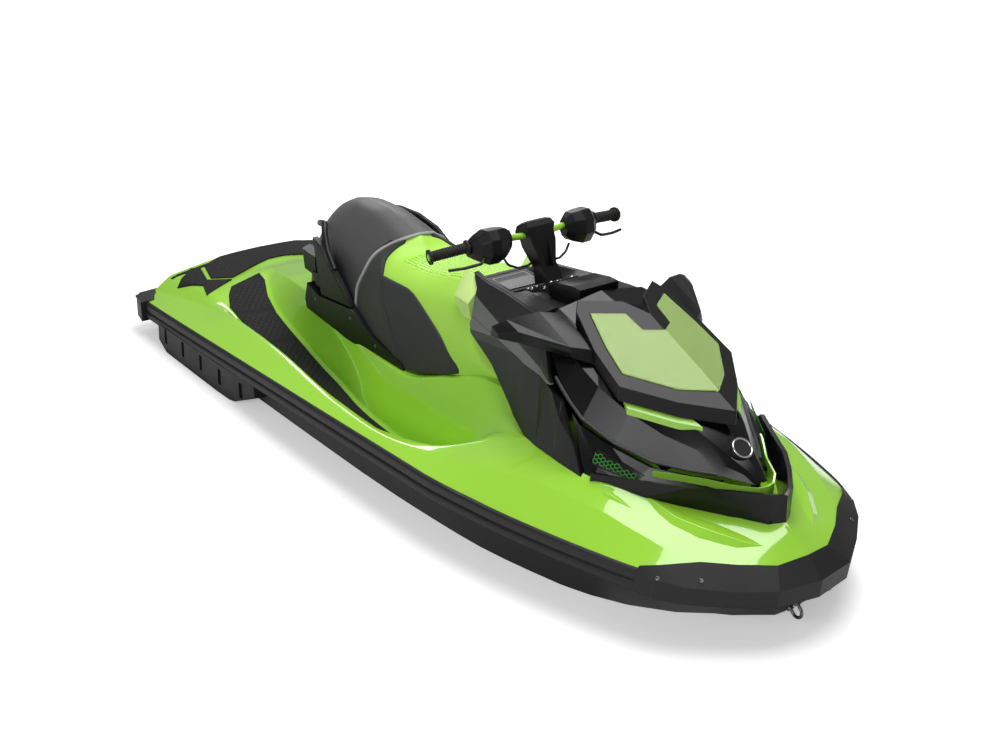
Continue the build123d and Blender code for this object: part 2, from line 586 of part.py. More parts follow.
def eye(seat, out, along):
    """A U bolt: its seat on the hull, the way it stands out, and the line of its two legs."""
    seat, out, along = Vector(*seat), Vector(*out).normalized(), Vector(*along).normalized()
    legs = [along * side * EYE_HALF_WIDTH for side in (-1, 1)]
    route = [seat - out * EYE_ROOT + legs[0], seat + out * EYE_REACH + legs[0],
             seat + out * EYE_REACH + legs[1], seat - out * EYE_ROOT + legs[1]]
    bolt = tube_along([tuple(p) for p in route], EYE_BAR, EYE_HALF_WIDTH - 0.5)
    for leg in legs:
        bolt = bolt + rod(tuple(seat + leg - out * EYE_ROOT), tuple(seat + leg + out * EYE_FLANGE_THICKNESS),
                          EYE_FLANGE)
    return bolt


stem = next(x for x in range(0, round(BOW_X)) if fair(KEEL, x) >= BOW_EYE_HEIGHT)
stem_rise = fair(KEEL, stem + 1.0) - fair(KEEL, stem - 1.0)
bow_eye = one(eye(point(stem, 0, BOW_EYE_HEIGHT), (stem_rise, 0, -2.0), (2.0, 0, stem_rise)) - hull_blank)
stern_eye = one(eye(point(TRANSOM_X, STERN_EYE_Y, STERN_EYE_HEIGHT), (-1, 0, 0), (0, 0, 1)) - hull_blank)
tow_eyes = Compound(children=[bow_eye] + list(both_sides(stern_eye).solids()))

# ---------------------------------------------------------------- deck mats
well_x = (-1400.0, 300.0)
MAT_MARGIN = 16.0


def well_mat_ring(x):
    out_y, out_h = pair(WELL_OUT, x)
    in_y, in_h = pair(WELL_IN, x)
    taper = min(MAT_MARGIN, 0.2 * (out_y - in_y))
    low, high = -20.0, MAT_THICKNESS
    y0, y1 = in_y + taper, out_y - taper
    h0 = in_h + (out_h - in_h) * taper / (out_y - in_y)
    h1 = out_h - (out_h - in_h) * taper / (out_y - in_y)
    return [point(x, y0, h0 + low), point(x, y1, h1 + low), point(x, y1, h1 + high), point(x, y0, h0 + high)]


well_mat_blank = skin([well_mat_ring(x) for x in deck_stations if well_x[0] < x < well_x[1]])
well_mat_zone = prism_z([(-1350, 112), (-1300, 306), (-1240, 348), (-1140, 396), (-1000, 480), (260, 560),
                         (260, 200), (-1000, 150)], 250.0, 620.0)
well_mat = one((well_mat_blank & well_mat_zone) - deck)
footwell_mats = both_sides(well_mat)

# Stern mats: a middle pad and an arrow-shaped pad at each corner, with green showing between.
# Their corners are given as distance forward of the stern and distance off the centreline.
platform_top = skin([deck_ring(x, lift=MAT_THICKNESS) for x in deck_stations if x < STERN_X + 450])
MIDDLE_MAT = [(8, 0), (8, 180), (50, 276), (203, 322), (265, 252), (172, 40), (172, 0)]
CORNER_MAT = [(37, 334), (149, 450), (254, 384), (349, 415), (286, 268), (209, 342), (60, 300)]
middle_mat, corner_mat = (prism_z([(STERN_X + x, y) for x, y in outline], 380.0, 620.0)
                          for outline in (MIDDLE_MAT, CORNER_MAT))
middle_mat = middle_mat + mirror(middle_mat, about=Plane.XZ)
middle = one((platform_top & middle_mat) - deck)
corner = one((platform_top & corner_mat) - deck)
rear_deck_mats = Compound(children=[middle] + list(both_sides(corner).solids()))

# ---------------------------------------------------------------- seat
# Saddle rows: x, crown height, shoulder y and height, side y and height, foot y.
SADDLE = [(392, 700, 96, 696, 160, 690, 186), (250, 820, 104, 812, 150, 770, 190),
          (150, 903, 110, 893, 150, 832, 196), (60, 902, 112, 890, 150, 832, 200),
          (-60, 876, 116, 862, 158, 812, 206), (-184, 852, 122, 840, 172, 786, 212),
          (-330, 848, 128, 834, 184, 766, 214), (-420, 850, 130, 836, 186, 760, 212)]
# Bolster rows: the same columns, rising from the seat to a rounded back rest.
BOLSTER = [(-368, 896, 112, 852, 182, 770, 216), (-430, 912, 118, 860, 188, 780, 214),
           (-520, 935, 120, 872, 192, 790, 210), (-610, 946, 120, 878, 192, 796, 204),
           (-700, 945, 118, 880, 188, 796, 196), (-790, 928, 114, 870, 178, 780, 186),
           (-850, 896, 106, 846, 164, 740, 178), (-880, 820, 96, 790, 146, 700, 172)]


def seat_ring(row):
    x, crown, shoulder_y, shoulder_h, side_y, side_h, foot_y = row
    foot_h = fair(PEDESTAL, x, 2) - 30.0
    half = [(0.0, foot_h), (foot_y, foot_h), (side_y, side_h), (shoulder_y, shoulder_h), (0.0, crown)]
    return whole_ring(x, half)


saddle_blank = skin([seat_ring(row) for row in SADDLE])
bolster_blank = skin([seat_ring(row) for row in BOLSTER])
# Knee wings run forward from the bolster along the saddle's flanks.
wing = skin([
    [point(-440, 150, 470), point(-440, 226, 470), point(-440, 192, 790), point(-440, 150, 846)],
    [point(-350, 150, 470), point(-350, 230, 470), point(-350, 190, 788), point(-350, 150, 826)],
    [point(-300, 150, 470), point(-300, 232, 470), point(-300, 206, 724), point(-300, 150, 740)],
    [point(-250, 150, 470), point(-250, 234, 470), point(-250, 222, 655), point(-250, 150, 670)],
    [point(-158, 150, 470), point(-158, 238, 470), point(-158, 234, 540), point(-158, 150, 545)]])
bolster_body = bolster_blank + wing + mirror(wing, about=Plane.XZ)
seat_bolster = one(bolster_body - saddle_blank - deck)
seat_saddle = one(saddle_blank - deck)
pad_outline = [(-150, 560), (-100, 700), (20, 724), (120, 640), (160, 600), (60, 556)]
pad_zone = prism_y(pad_outline, 120.0, 300.0)
pad_shell = skin([seat_ring((x, crown, sy + 6, sh, ey + 6, eh, fy + 6))
                  for x, crown, sy, sh, ey, eh, fy in SADDLE])
knee_pads = both_sides(one((pad_shell & pad_zone) - saddle_blank - bolster_body - deck))

# Side trims under the seat and the passenger's grab handle behind it.
trim_port = prism_y([(-800, 570), (-780, 640), (-700, 612), (-470, 632), (-330, 574),
                     (-130, 534), (-110, 505), (-300, 500), (-500, 505), (-790, 535)], 150.0, 246.0)
trim_port = one(trim_port - bolster_body - saddle_blank - deck)
seat_side_trims = both_sides(trim_port)

HANDLE_RADIUS = 12.0
HANDLE_BLADE = 22.0         # thickness of the moulded arms
BLADE = [(-735, 240, 832), (-708, 238, 706), (-695, 236, 616), (-472, 240, 636), (-560, 264, 760),
         (-625, 248, 812)]  # outer face of an arm, from its top aft corner round to its front
blade_port = skin([[point(x, y - HANDLE_BLADE, h) for x, y, h in BLADE], [point(*c) for c in BLADE]])
lug_port = skin([[point(x, y, 752) for x, y in ((-740, 172), (-740, 232), (-850, 222), (-880, 172))],
                 [point(x, y, 672) for x, y in ((-740, 172), (-740, 228), (-846, 216), (-872, 172))]])
lug_foot = skin([[point(x, y, 690) for x, y in ((-760, 120), (-700, 120), (-700, 232), (-760, 232))],
                 [point(x, y, 640) for x, y in ((-740, 120), (-700, 120), (-700, 232), (-740, 232))]])
handle_route = [(-560, 252, 756), (-625, 240, 804), (-700, 208, 842), (-770, 166, 862), (-850, 140, 838),
                (-918, 80, 800)]
handle_route = [point(*p) for p in handle_route]
handle_route += [(x, -y, z) for x, y, z in reversed(handle_route)]
handle_bar = tube_along(handle_route, HANDLE_RADIUS, 34.0)
grab_handle = handle_bar
for part_port in (blade_port, lug_port, lug_foot):
    grab_handle = grab_handle + part_port + mirror(part_port, about=Plane.XZ)
grab_handle = one(grab_handle - bolster_body - trim_port - mirror(trim_port, about=Plane.XZ) - deck)

# ---------------------------------------------------------------- console
# Core rows: x, top height, top edge y and height, flank y and height, foot y.
CORE = [(128, 908, 108, 908, 116, 890, 120), (300, 896, 118, 896, 150, 780, 164),
        (340, 922, 122, 915, 160, 770, 176), (443, 956, 136, 935, 186, 750, 200),
        (560, 966, 140, 938, 200, 740, 216), (690, 968, 140, 936, 206, 720, 230),
        (748, 964, 140, 930, 206, 700, 232)]


def core_ring(row):
    x, top, edge_y, edge_h, flank_y, flank_h, foot_y = row
    foot_h = max(fair(PEDESTAL, x, 2) - 60.0, 780.0 - 1.1 * (x - CORE[0][0]))
    return whole_ring(x, [(0.0, foot_h), (foot_y, foot_h), (flank_y, flank_h), (edge_y, edge_h), (0.0, top)])


def core_top(x):
    """Height of the console's ridge, straight between its rows."""
    near, far = next((a, b) for a, b in zip(CORE, CORE[1:]) if x <= b[0])
    return near[1] + (far[1] - near[1]) * (x - near[0]) / (far[0] - near[0])


core_blank = skin([core_ring(row) for row in CORE])
lid_hinge = (GLOVE_X[1] - 8.0, core_top(GLOVE_X[1] - 8.0) - LID_THICKNESS / 2)
well_rim = 12.0
lid_y = GLOVE_HALF_WIDTH + well_rim - CLEARANCE


def under_top(x0, x1, down, half_width, rise=60.0):
    """A block under the console's top from x0 to x1, its floor a given depth down."""
    return prism_y([(x0, core_top(x0) - down), (x1, core_top(x1) - down), (x1, core_top(x1) + rise),
                    (x0, core_top(x0) + rise)], -half_width, half_width)


lid_well = under_top(GLOVE_X[0] - well_rim, GLOVE_X[1] + CLEARANCE, LID_THICKNESS + SEAM,
                     GLOVE_HALF_WIDTH + well_rim)
glove_well = under_top(GLOVE_X[0], GLOVE_X[1] - 22.0, GLOVE_DEPTH, GLOVE_HALF_WIDTH)
glove_room = under_top(GLOVE_X[0] + GLOVE_WALL, GLOVE_X[1] - 22.0 - GLOVE_WALL, GLOVE_DEPTH - GLOVE_WALL,
                       GLOVE_HALF_WIDTH - GLOVE_WALL)
lid_blank = under_top(GLOVE_X[0] - well_rim + CLEARANCE, lid_hinge[0], LID_THICKNESS, lid_y, rise=0.0)
LID_PIN = 2.0
barrel_half = lid_y - 14.0
barrel = rod(point(lid_hinge[0], -barrel_half, lid_hinge[1]), point(lid_hinge[0], barrel_half, lid_hinge[1]),
             LID_THICKNESS / 2)
pin_span = GLOVE_HALF_WIDTH + well_rim
pin_ends = [point(lid_hinge[0], side * pin_span, lid_hinge[1]) for side in (-1, 1)]
lid_pin = rod(*pin_ends, LID_PIN)
lid_bore = rod(*pin_ends, LID_PIN + PIN_CLEARANCE)
glovebox_lid = one(lid_blank + barrel - lid_bore)
console_core = one(core_blank - saddle_blank - deck - lid_well - glove_well)
console_core = one(console_core + lid_pin)
glovebox_tub = one(glove_well - lid_well - glove_room)
seat_saddle = one(seat_saddle - lid_well - glove_well)

# Panels over the console's flanks.  Rows: x, then y and height of top, middle and foot.
PANEL = [(150, 134, 944, 150, 900, 196, 720), (235, 150, 938, 176, 880, 214, 700),
         (398, 176, 948, 214, 860, 244, 690), (560, 204, 950, 240, 860, 286, 640),
         (694, 226, 938, 268, 850, 328, 610), (770, 246, 905, 300, 830, 342, 610),
         (870, 316, 800, 334, 740, 350, 610), (960, 318, 730, 340, 680, 354, 600),
         (1060, 318, 680, 340, 650, 356, 600)]


def panel_ring(row):
    x, top_y, top_h, mid_y, mid_h, foot_y, foot_h = row
    return [point(x, top_y, top_h), point(x, mid_y, mid_h), point(x, foot_y, foot_h),
            point(x, foot_y - 6 * PANEL_WALL, foot_h), point(x, mid_y - PANEL_WALL, mid_h),
            point(x, top_y - PANEL_WALL, top_h)]


panel_blank = skin([panel_ring(row) for row in PANEL])
lower_zone = prism_y([(196, 770), (398, 722), (757, 560), (1040, 560), (952, 678), (866, 780), (770, 806),
                      (600, 800), (398, 810), (214, 816)], 100.0, 420.0)
upper_zone = prism_y([(214, 817), (398, 811), (600, 801), (770, 807), (794, 812), (768, 836), (700, 882),
                      (642, 916), (600, 968), (443, 968), (150, 968), (170, 930), (206, 905)], 100.0, 420.0)
lower_panel = one((panel_blank & lower_zone) - console_core - saddle_blank - deck)
upper_panel = one((panel_blank & upper_zone) - console_core - saddle_blank - deck)
side_panels = both_sides(lower_panel)
upper_panels = both_sides(upper_panel)

# Tank covers: light facets between the seat and the console's panels.
tank_cover = skin([
    [point(96, 104, 896), point(96, 128, 930), point(96, 176, 850), point(96, 160, 786)],
    [point(150, 104, 896), point(150, 134, 934), point(150, 190, 860), point(150, 176, 776)],
    [point(205, 124, 870), point(205, 152, 900), point(205, 196, 858), point(205, 180, 790)]])
tank_covers = both_sides(one(tank_cover - saddle_blank - core_blank - lower_panel - upper_panel - deck))

gauge_cluster = prism_y([(486, 950), (478, 984), (520, 1006), (600, 1018), (640, 1016), (640, 950)],
                        -78.0, 78.0) - core_blank
gauge_cluster = one(gauge_cluster)

# ---------------------------------------------------------------- steering base and handlebar
foot = Vector(STEERING_FOOT[0], 0, above_keel(STEERING_FOOT[1]))
rake = math.radians(COLUMN_RAKE)
column_axis = Vector(-math.sin(rake), 0, math.cos(rake))


def on_column(distance, x=0.0, y=0.0):
    """A plane square to the column's axis, at a distance along it; x points forward."""
    forward = Vector(math.cos(rake), 0, math.sin(rake))
    return Plane(origin=foot + column_axis * distance + forward * x + Vector(0, y, 0),
                 x_dir=forward, z_dir=column_axis)


SPINDLE_RADIUS = 16.0
base_block = prism_y([(306, 880), (306, 902), (352, 960), (400, 990), (462, 985), (470, 940)], -58.0, 58.0)
base_top = on_column(6.0) * Box(400, 400, 200, align=(Align.CENTER, Align.CENTER, Align.MIN))
spindle_bore = on_column(-34.0) * Cylinder(SPINDLE_RADIUS + PIN_CLEARANCE, 60.0,
                                           align=(Align.CENTER, Align.CENTER, Align.MIN))
steering_base = one(base_block - console_core - base_top - spindle_bore - gauge_cluster)
console_core = one(console_core - spindle_bore)

yoke_low = 6.0 + CLEARANCE
spindle = on_column(-33.0) * Cylinder(SPINDLE_RADIUS, yoke_low + 40.0,
                                      align=(Align.CENTER, Align.CENTER, Align.MIN))
yoke_faces = []
for distance, deep, wide in ((yoke_low, 66.0, 70.0), (70.0, 52.0, 58.0), (COLUMN_LENGTH - 30.0, 62.0, 96.0),
                             (COLUMN_LENGTH, 58.0, 100.0)):
    plane = on_column(distance)
    yoke_faces.append([tuple(plane.from_local_coords(Vector(sx * deep / 2, sy * wide / 2, 0)))
                       for sx, sy in ((-1, -1), (1, -1), (1, 1), (-1, 1))])
bar_middle = foot + column_axis * (COLUMN_LENGTH + 3.0)
bar_z = bar_middle.Z + KEEL_DEPTH


def bar_points(side):
    x = bar_middle.X
    return [point(x, side * 60, bar_z), point(x - 4, side * 150, bar_z + 6),
            point(x - BAR_SWEEP, side * BAR_HALF_SPAN, bar_z - BAR_DROP)]


bar_route = list(reversed(bar_points(-1))) + bar_points(1)
handlebar_tube = tube_along(bar_route, BAR_RADIUS, [60.0, 90.0, 90.0, 60.0])
grip_side = {}
for side in (-1, 1):
    inner, outer = (Vector(*p) for p in bar_points(side)[1:])
    along = (outer - inner).normalized()
    start, end = outer - along * 136.0, outer
    grip = rod(tuple(start), tuple(end), GRIP_RADIUS) + rod(tuple(end - along * 9.0), tuple(end), GRIP_FLANGE)
    grip = grip + rod(tuple(start), tuple(start + along * 8.0), GRIP_FLANGE)
    grip_side[side] = one(grip - handlebar_tube)
grips = Compound(children=list(grip_side.values()))
steering_column = one(spindle + skin(yoke_faces) - handlebar_tube)

pad_rings = []
for distance, deep, wide in ((COLUMN_LENGTH + 0.2, 58.0, 100.0), (COLUMN_LENGTH + 22.0, 74.0, 112.0),
                             (COLUMN_LENGTH + 40.0, 62.0, 96.0), (COLUMN_LENGTH + 46.0, 40.0, 70.0)):
    plane = on_column(distance)
    pad_rings.append([tuple(plane.from_local_coords(Vector(sx * deep / 2, sy * wide / 2, 0)))
                      for sx, sy in ((-1, -1), (1, -1), (1, 1), (-1, 1))])
bar_pad = one(skin(pad_rings) - handlebar_tube - steering_column)

# Control pods: y, then (x, height) of the four corners from low aft round to low front.
POD = [(112, (286, 1040), (280, 1140), (330, 1150), (352, 1046)),
       (190, (276, 1030), (266, 1138), (332, 1146), (360, 1040)),
       (248, (262, 1056), (262, 1108), (310, 1112), (330, 1060))]
pod_drop = bar_z - 1100.0
pod_shift = BAR_HALF_SPAN - 383.0
pod_port = skin([[point(x, y + pod_shift, h + pod_drop) for x, h in corners] for y, *corners in POD])
pod_starboard = mirror(pod_port, about=Plane.XZ)
control_pods = Compound(children=[one(p - handlebar_tube - grip_side[s] - bar_pad)
                                  for p, s in ((pod_port, 1), (pod_starboard, -1))])
LEVER_RADIUS = 5.0
lever_route = [point(x, pod_shift + y, bar_z - drop)
               for x, y, drop in ((330, 214, 26), (352, 244, 44), (338, 300, 52), (322, 352, 54))]
lever_port = tube_along(lever_route, LEVER_RADIUS, 20.0)
lever_port = one(lever_port - pod_port - grip_side[1])
levers = both_sides(lever_port)
CABLE_RADIUS = 4.0
cable_route = [point(316, 140 + pod_shift, bar_z - 50), point(322, 118 + pod_shift * 0.7, bar_z - 84), point(330, 86, bar_z - 98),
               point(338, 54, bar_z - 94), point(340, 20, bar_z - 84)]
cable_port = tube_along(cable_route, CABLE_RADIUS, 26.0)
cable_port = one(cable_port - pod_port - steering_column)
control_cables = both_sides(cable_port)

# ---------------------------------------------------------------- hood
# Hood rows: x, crown height, then y and height of crease, shoulder and lower edge.
HOOD = [(1390, 657, 13, 655, 19, 652, 25, 645), (1355, 684, 26, 679, 38, 668, 48, 650),
        (1304, 715, 44, 704, 64, 682, 82, 656),
        (1230, 772, 78, 750, 106, 715, 138, 660), (1142, 832, 112, 796, 158, 742, 198, 668),
        (1040, 880, 142, 846, 208, 788, 258, 706), (929, 918, 158, 884, 234, 838, 292, 752),
        (830, 950, 164, 920, 240, 886, 294, 818), (740, 982, 168, 954, 226, 924, 262, 882),
        (650, 1004, 166, 980, 204, 958, 228, 928)]


def hood_ring(row, inset=0.0):
    x, crown, *rest = row
    points = [(0.0, crown - inset)] + [(rest[i] - inset, rest[i + 1] - inset) for i in (0, 2)]
    return points + [(rest[4] - inset, rest[5])]


def hood_section(row):
    outer = hood_ring(row)
    inner = hood_ring(row, HOOD_WALL)
    x = row[0]
    port = [point(x, y, h) for y, h in outer] + [point(x, y, h) for y, h in reversed(inner)]
    starboard = [point(x, -y, h) for y, h in inner[1:]] + [point(x, -y, h) for y, h in reversed(outer[1:])]
    return port + starboard


def hood_solid_section(row):
    """The hood filled down to its lower edge, to trim what sits on it."""
    return whole_ring(row[0], [(0.0, row[7])] + list(reversed(hood_ring(row))))


hood_fill = skin([hood_solid_section(row) for row in HOOD])
pivot = point(HOOD_PIVOT[0], 0, HOOD_PIVOT[1])
BARREL_RADIUS = 8.0
BARREL_HALF = 6.0
tongue = prism_y([(1346, 654), (1346, 682), (1380, 659), (1380, HOOD_PIVOT[1]), (HOOD_PIVOT[0], 627)],
                 -BARREL_HALF, BARREL_HALF)
hood_barrel = rod((pivot[0], -BARREL_HALF, pivot[2]), (pivot[0], BARREL_HALF, pivot[2]), BARREL_RADIUS)
ear_inner = BARREL_HALF + 1.0
ear_outer = ear_inner + 5.0
hood_pin = rod((pivot[0], -ear_outer, pivot[2]), (pivot[0], ear_outer, pivot[2]), HOOD_PIN_RADIUS)
hood_bore = rod((pivot[0], -ear_outer, pivot[2]), (pivot[0], ear_outer, pivot[2]),
                HOOD_PIN_RADIUS + PIN_CLEARANCE)
hood_shell = one(skin([hood_section(row) for row in HOOD]) + tongue + hood_barrel - hood_bore)

hinge_base = box((HOOD_PIVOT[0] - 16.0, HOOD_PIVOT[0] + 16.0), (-ear_outer, ear_outer), (560.0, 614.0)) - deck
hood_hinge = hinge_base + hood_pin
for side in (-1, 1):
    hood_hinge = hood_hinge + box((HOOD_PIVOT[0] - 8.0, HOOD_PIVOT[0] + 8.0),
                                  sorted((side * ear_inner, side * ear_outer)), (612.0, HOOD_PIVOT[1] + 8.0))
hood_hinge = one(hood_hinge)

# Windshield and its frame lie in one plane on each side of a centre fold.
SCREEN_FOLD = (952.0, 966.0)        # x and height of the fold at the notch
SCREEN_FALL = 0.4545                # drop per unit forward
SCREEN_LEAN = 0.3446                # drop per unit outboard


def screen_height(x, y, lift=0.0):
    return SCREEN_FOLD[1] - SCREEN_FALL * (x - SCREEN_FOLD[0]) - SCREEN_LEAN * abs(y) + lift


def screen_slab(outline, top, depth):
    """A slab under the screen's plane: plan outline of (x, y), its top's lift and its depth."""
    upper = [point(x, y, screen_height(x, y, top)) for x, y in outline]
    lower = [point(x, y, screen_height(x, y, top - depth)) for x, y in outline]
    return skin([lower, upper])


SCREEN = [(1194, 0), (1120, 92), (985, 192), (890, 178), (776, 148), (840, 62), (913, 54), (952, 0)]
FRAME = [(1272, 0), (1150, 120), (1010, 226), (880, 214), (745, 178), (716, 150), (800, 40), (880, 0)]
screen_half = screen_slab(SCREEN, SCREEN_LIFT, SCREEN_THICKNESS)
windshield = one(screen_half + mirror(screen_half, about=Plane.XZ))
frame_half = screen_slab(FRAME, 4.0, FRAME_DEPTH)
pocket = screen_slab(SCREEN, 60.0, 60.0 + 3.0)
windshield_frame = frame_half + mirror(frame_half, about=Plane.XZ) - hood_fill
windshield_frame = one(windshield_frame - pocket - mirror(pocket, about=Plane.XZ) - windshield)
windshield = one(windshield - hood_fill - windshield_frame)

BOSS_RADIUS = 36.0
boss_axis = Vector(0.62, 0, 0.78).normalized()
boss_seat = Vector(*point(1296, 0, 712))
hood_boss = Plane(origin=boss_seat - boss_axis * 20.0, z_dir=boss_axis) * Cylinder(
    BOSS_RADIUS, 34.0, align=(Align.CENTER, Align.CENTER, Align.MIN))
hood_boss = one(hood_boss - hood_fill)

MIRROR = [  # y, then (x, height) corners: front low, front top, aft top, aft low
    (196, (892, 880), (872, 925), (700, 988), (690, 930)),
    (262, (838, 905), (826, 936), (674, 1000), (664, 930)),
    (350, (700, 925), (690, 958), (626, 978), (616, 924)),
    (390, (642, 930), (638, 946), (606, 960), (600, 926))]
mirror_port = skin([[point(x, y, h) for x, h in corners] for y, *corners in MIRROR])
mirrors = both_sides(one(mirror_port - hood_fill - windshield_frame - windshield))

# Green strips show under the windshield frame on each flank.
strip = screen_slab([(1215, 76), (1160, 128), (1040, 216), (1010, 204), (1140, 92)], -FRAME_DEPTH, 20.0)
hood_strips = solids(both_sides(strip) - hood_fill - windshield_frame)

# ---------------------------------------------------------------- nose fairings, grilles, apron
# Fairing rows: x, y and height of its top edge, belly and foot.
FAIRING = [(850, 306, 792, 336, 730, 346, 600), (929, 302, 732, 336, 680, 346, 600),
           (1040, 266, 692, 316, 650, 340, 600), (1142, 206, 652, 262, 628, 290, 590),
           (1230, 146, 646, 188, 622, 222, 574), (1310, 84, 644, 118, 620, 150, 560)]
FAIRING_WALL = 14.0


def fairing_ring(row):
    x, top_y, top_h, mid_y, mid_h, foot_y, foot_h = row
    return [point(x, top_y, top_h), point(x, mid_y, mid_h), point(x, foot_y, foot_h),
            point(x, foot_y - 3 * FAIRING_WALL, foot_h), point(x, mid_y - FAIRING_WALL, mid_h - 4.0),
            point(x, top_y - FAIRING_WALL, top_h - 4.0)]


fairing_zone = prism_y([(872, 786), (960, 678), (1016, 600), (1050, 540), (1330, 540), (1330, 700),
                        (1142, 700), (1000, 760), (880, 830)], 60.0, 400.0)
fairing_blank = skin([fairing_ring(row) for row in FAIRING]) & fairing_zone
grille_pocket = skin([
    [point(1010, 300, 650), point(1010, 360, 650), point(1010, 360, 690), point(1010, 300, 690)],
    [point(1150, 232, 622), point(1150, 300, 622), point(1150, 300, 640), point(1150, 232, 640)]])
fairing_port = one(fairing_blank - deck - lower_panel - grille_pocket)
nose_fairings = both_sides(fairing_port)
grille_port = (grille_pocket & fairing_blank) - deck
grille_port = one(grille_port & skin([[point(x, y - 6.0, h) if i > 2 else point(x, y - 5.0, h)
                                       for i, (x, y, h) in enumerate(
                                           [(r[0], r[1], r[2]), (r[0], r[3], r[4]), (r[0], r[5], r[6]),
                                            (r[0], r[5] - 60.0, r[6]), (r[0], r[3] - 60.0, r[4]),
                                            (r[0], r[1] - 60.0, r[2])])] for r in FAIRING]))
grilles = both_sides(grille_port)

APRON = [  # foot and rim: x, y, height of each, from the stem aft
    ((1497, 0, 545), (1494, 0, 650)), ((1470, 42, 545), (1476, 40, 655)),
    ((1384, 112, 545), (1396, 116, 656)), ((1264, 204, 560), (1300, 196, 650)),
    ((1150, 290, 575), (1160, 282, 640)), ((1040, 352, 590), (1050, 350, 636))]


def apron_ring(row, side=1):
    (fx, fy, fh), (rx, ry, rh) = row
    return [point(fx, side * fy, fh), point(rx, side * ry, rh),
            point(rx - APRON_WALL, side * max(ry - APRON_WALL * 0.5, 0.0), rh - 3.0),
            point(fx - APRON_WALL * 2.2, side * max(fy - APRON_WALL * 1.6, 0.0), fh)]


apron_rings = [apron_ring(r, 1) for r in reversed(APRON)] + [apron_ring(r, -1) for r in APRON[1:]]
front_apron = one(skin(apron_rings) - deck - nose_fairings - hood_hinge - side_panels)

# Green strip standing just ahead of the hood's edge: x, y, height of its outer top, and lean.
NOSE_STRIP = [(1421, 0, 648), (1414, 30, 648), (1378, 70, 650), (1294, 120, 652), (1206, 190, 656),
              (1172, 216, 654)]
STRIP_WALL = 9.0
STRIP_LEAN = 9.0


def strip_ring(row, side=1):
    x, y, height = row
    return [point(x, side * y, height), point(x - STRIP_LEAN, side * y, 560.0),
            point(x - STRIP_LEAN - STRIP_WALL, side * y, 560.0), point(x - STRIP_WALL, side * y, height - 2.0)]


nose_strips = one(around_bow(strip_ring, list(NOSE_STRIP)) - deck - front_apron - nose_fairings - hood_hinge
                  - hood_fill - grilles)

# ---------------------------------------------------------------- storage bin
bin_rim = box([BIN_X[0] - BIN_LIP, BIN_X[1] + BIN_LIP], (-BIN_HALF_WIDTH - BIN_LIP, BIN_HALF_WIDTH + BIN_LIP),
              (600.0, 668.0)) - deck
bin_room = box([BIN_X[0] + BIN_WALL, BIN_X[1] - BIN_WALL],
               (-BIN_HALF_WIDTH + BIN_WALL, BIN_HALF_WIDTH - BIN_WALL), (BIN_FLOOR + BIN_WALL, 800.0))
bin_blank = box(BIN_X, (-BIN_HALF_WIDTH, BIN_HALF_WIDTH), (BIN_FLOOR, 668.0))
storage_bin = one(bin_blank + bin_rim - bin_room - nose_strips - front_apron)

# ---------------------------------------------------------------- files
NODES = {
    "hull": hull, "deck": deck, "side_rails": side_rails, "bow_bumper": bow_bumper,
    "stern_caps": stern_caps, "sponsons": sponsons, "ride_plate": ride_plate,
    "intake_grate": intake_grate, "pump_housing": pump_housing, "steering_nozzle": steering_nozzle,
    "reverse_gate": reverse_gate, "impeller": impeller, "engine_block": engine_block,
    "tow_eyes": tow_eyes, "footwell_mats": footwell_mats, "rear_deck_mats": rear_deck_mats,
    "seat_saddle": seat_saddle, "seat_bolster": seat_bolster, "knee_pads": knee_pads,
    "seat_side_trims": seat_side_trims, "grab_handle": grab_handle, "console_core": console_core,
    "side_panels": side_panels, "upper_panels": upper_panels, "tank_covers": tank_covers,
    "glovebox_tub": glovebox_tub, "glovebox_lid": glovebox_lid, "gauge_cluster": gauge_cluster,
    "steering_base": steering_base, "steering_column": steering_column,
    "handlebar_tube": handlebar_tube, "bar_pad": bar_pad, "grips": grips,
    "control_pods": control_pods, "levers": levers, "control_cables": control_cables,
    "hood_shell": hood_shell, "hood_hinge": hood_hinge, "windshield": windshield,
    "windshield_frame": windshield_frame, "hood_boss": hood_boss, "mirrors": mirrors,
    "hood_strips": hood_strips, "nose_fairings": nose_fairings, "grilles": grilles,
    "front_apron": front_apron, "nose_strips": nose_strips, "storage_bin": storage_bin,
}

os.makedirs("parts", exist_ok=True)
for name, shape in NODES.items():
    export_step(shape, f"parts/{name}.step")
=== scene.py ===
"""Looks of a two-seat jet-driven watercraft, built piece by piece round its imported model."""
import json
import math

import bmesh
import bpy
from mathutils import Matrix, Vector
from mathutils.bvhtree import BVHTree


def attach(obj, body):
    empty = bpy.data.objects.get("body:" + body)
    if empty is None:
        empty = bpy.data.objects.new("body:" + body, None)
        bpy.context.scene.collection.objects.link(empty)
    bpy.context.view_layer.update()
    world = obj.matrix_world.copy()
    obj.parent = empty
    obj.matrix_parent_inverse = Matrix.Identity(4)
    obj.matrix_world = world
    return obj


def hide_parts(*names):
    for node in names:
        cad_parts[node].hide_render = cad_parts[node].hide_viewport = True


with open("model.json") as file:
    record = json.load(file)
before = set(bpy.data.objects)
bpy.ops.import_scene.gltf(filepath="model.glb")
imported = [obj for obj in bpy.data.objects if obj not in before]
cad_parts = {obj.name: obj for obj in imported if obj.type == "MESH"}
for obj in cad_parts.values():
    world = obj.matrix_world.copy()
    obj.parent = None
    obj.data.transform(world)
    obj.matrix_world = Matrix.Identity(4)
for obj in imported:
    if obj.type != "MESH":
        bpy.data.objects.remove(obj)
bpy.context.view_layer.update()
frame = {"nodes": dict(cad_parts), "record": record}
nodes = frame["nodes"]
scene = bpy.context.scene
scene.view_settings.view_transform = "Standard"

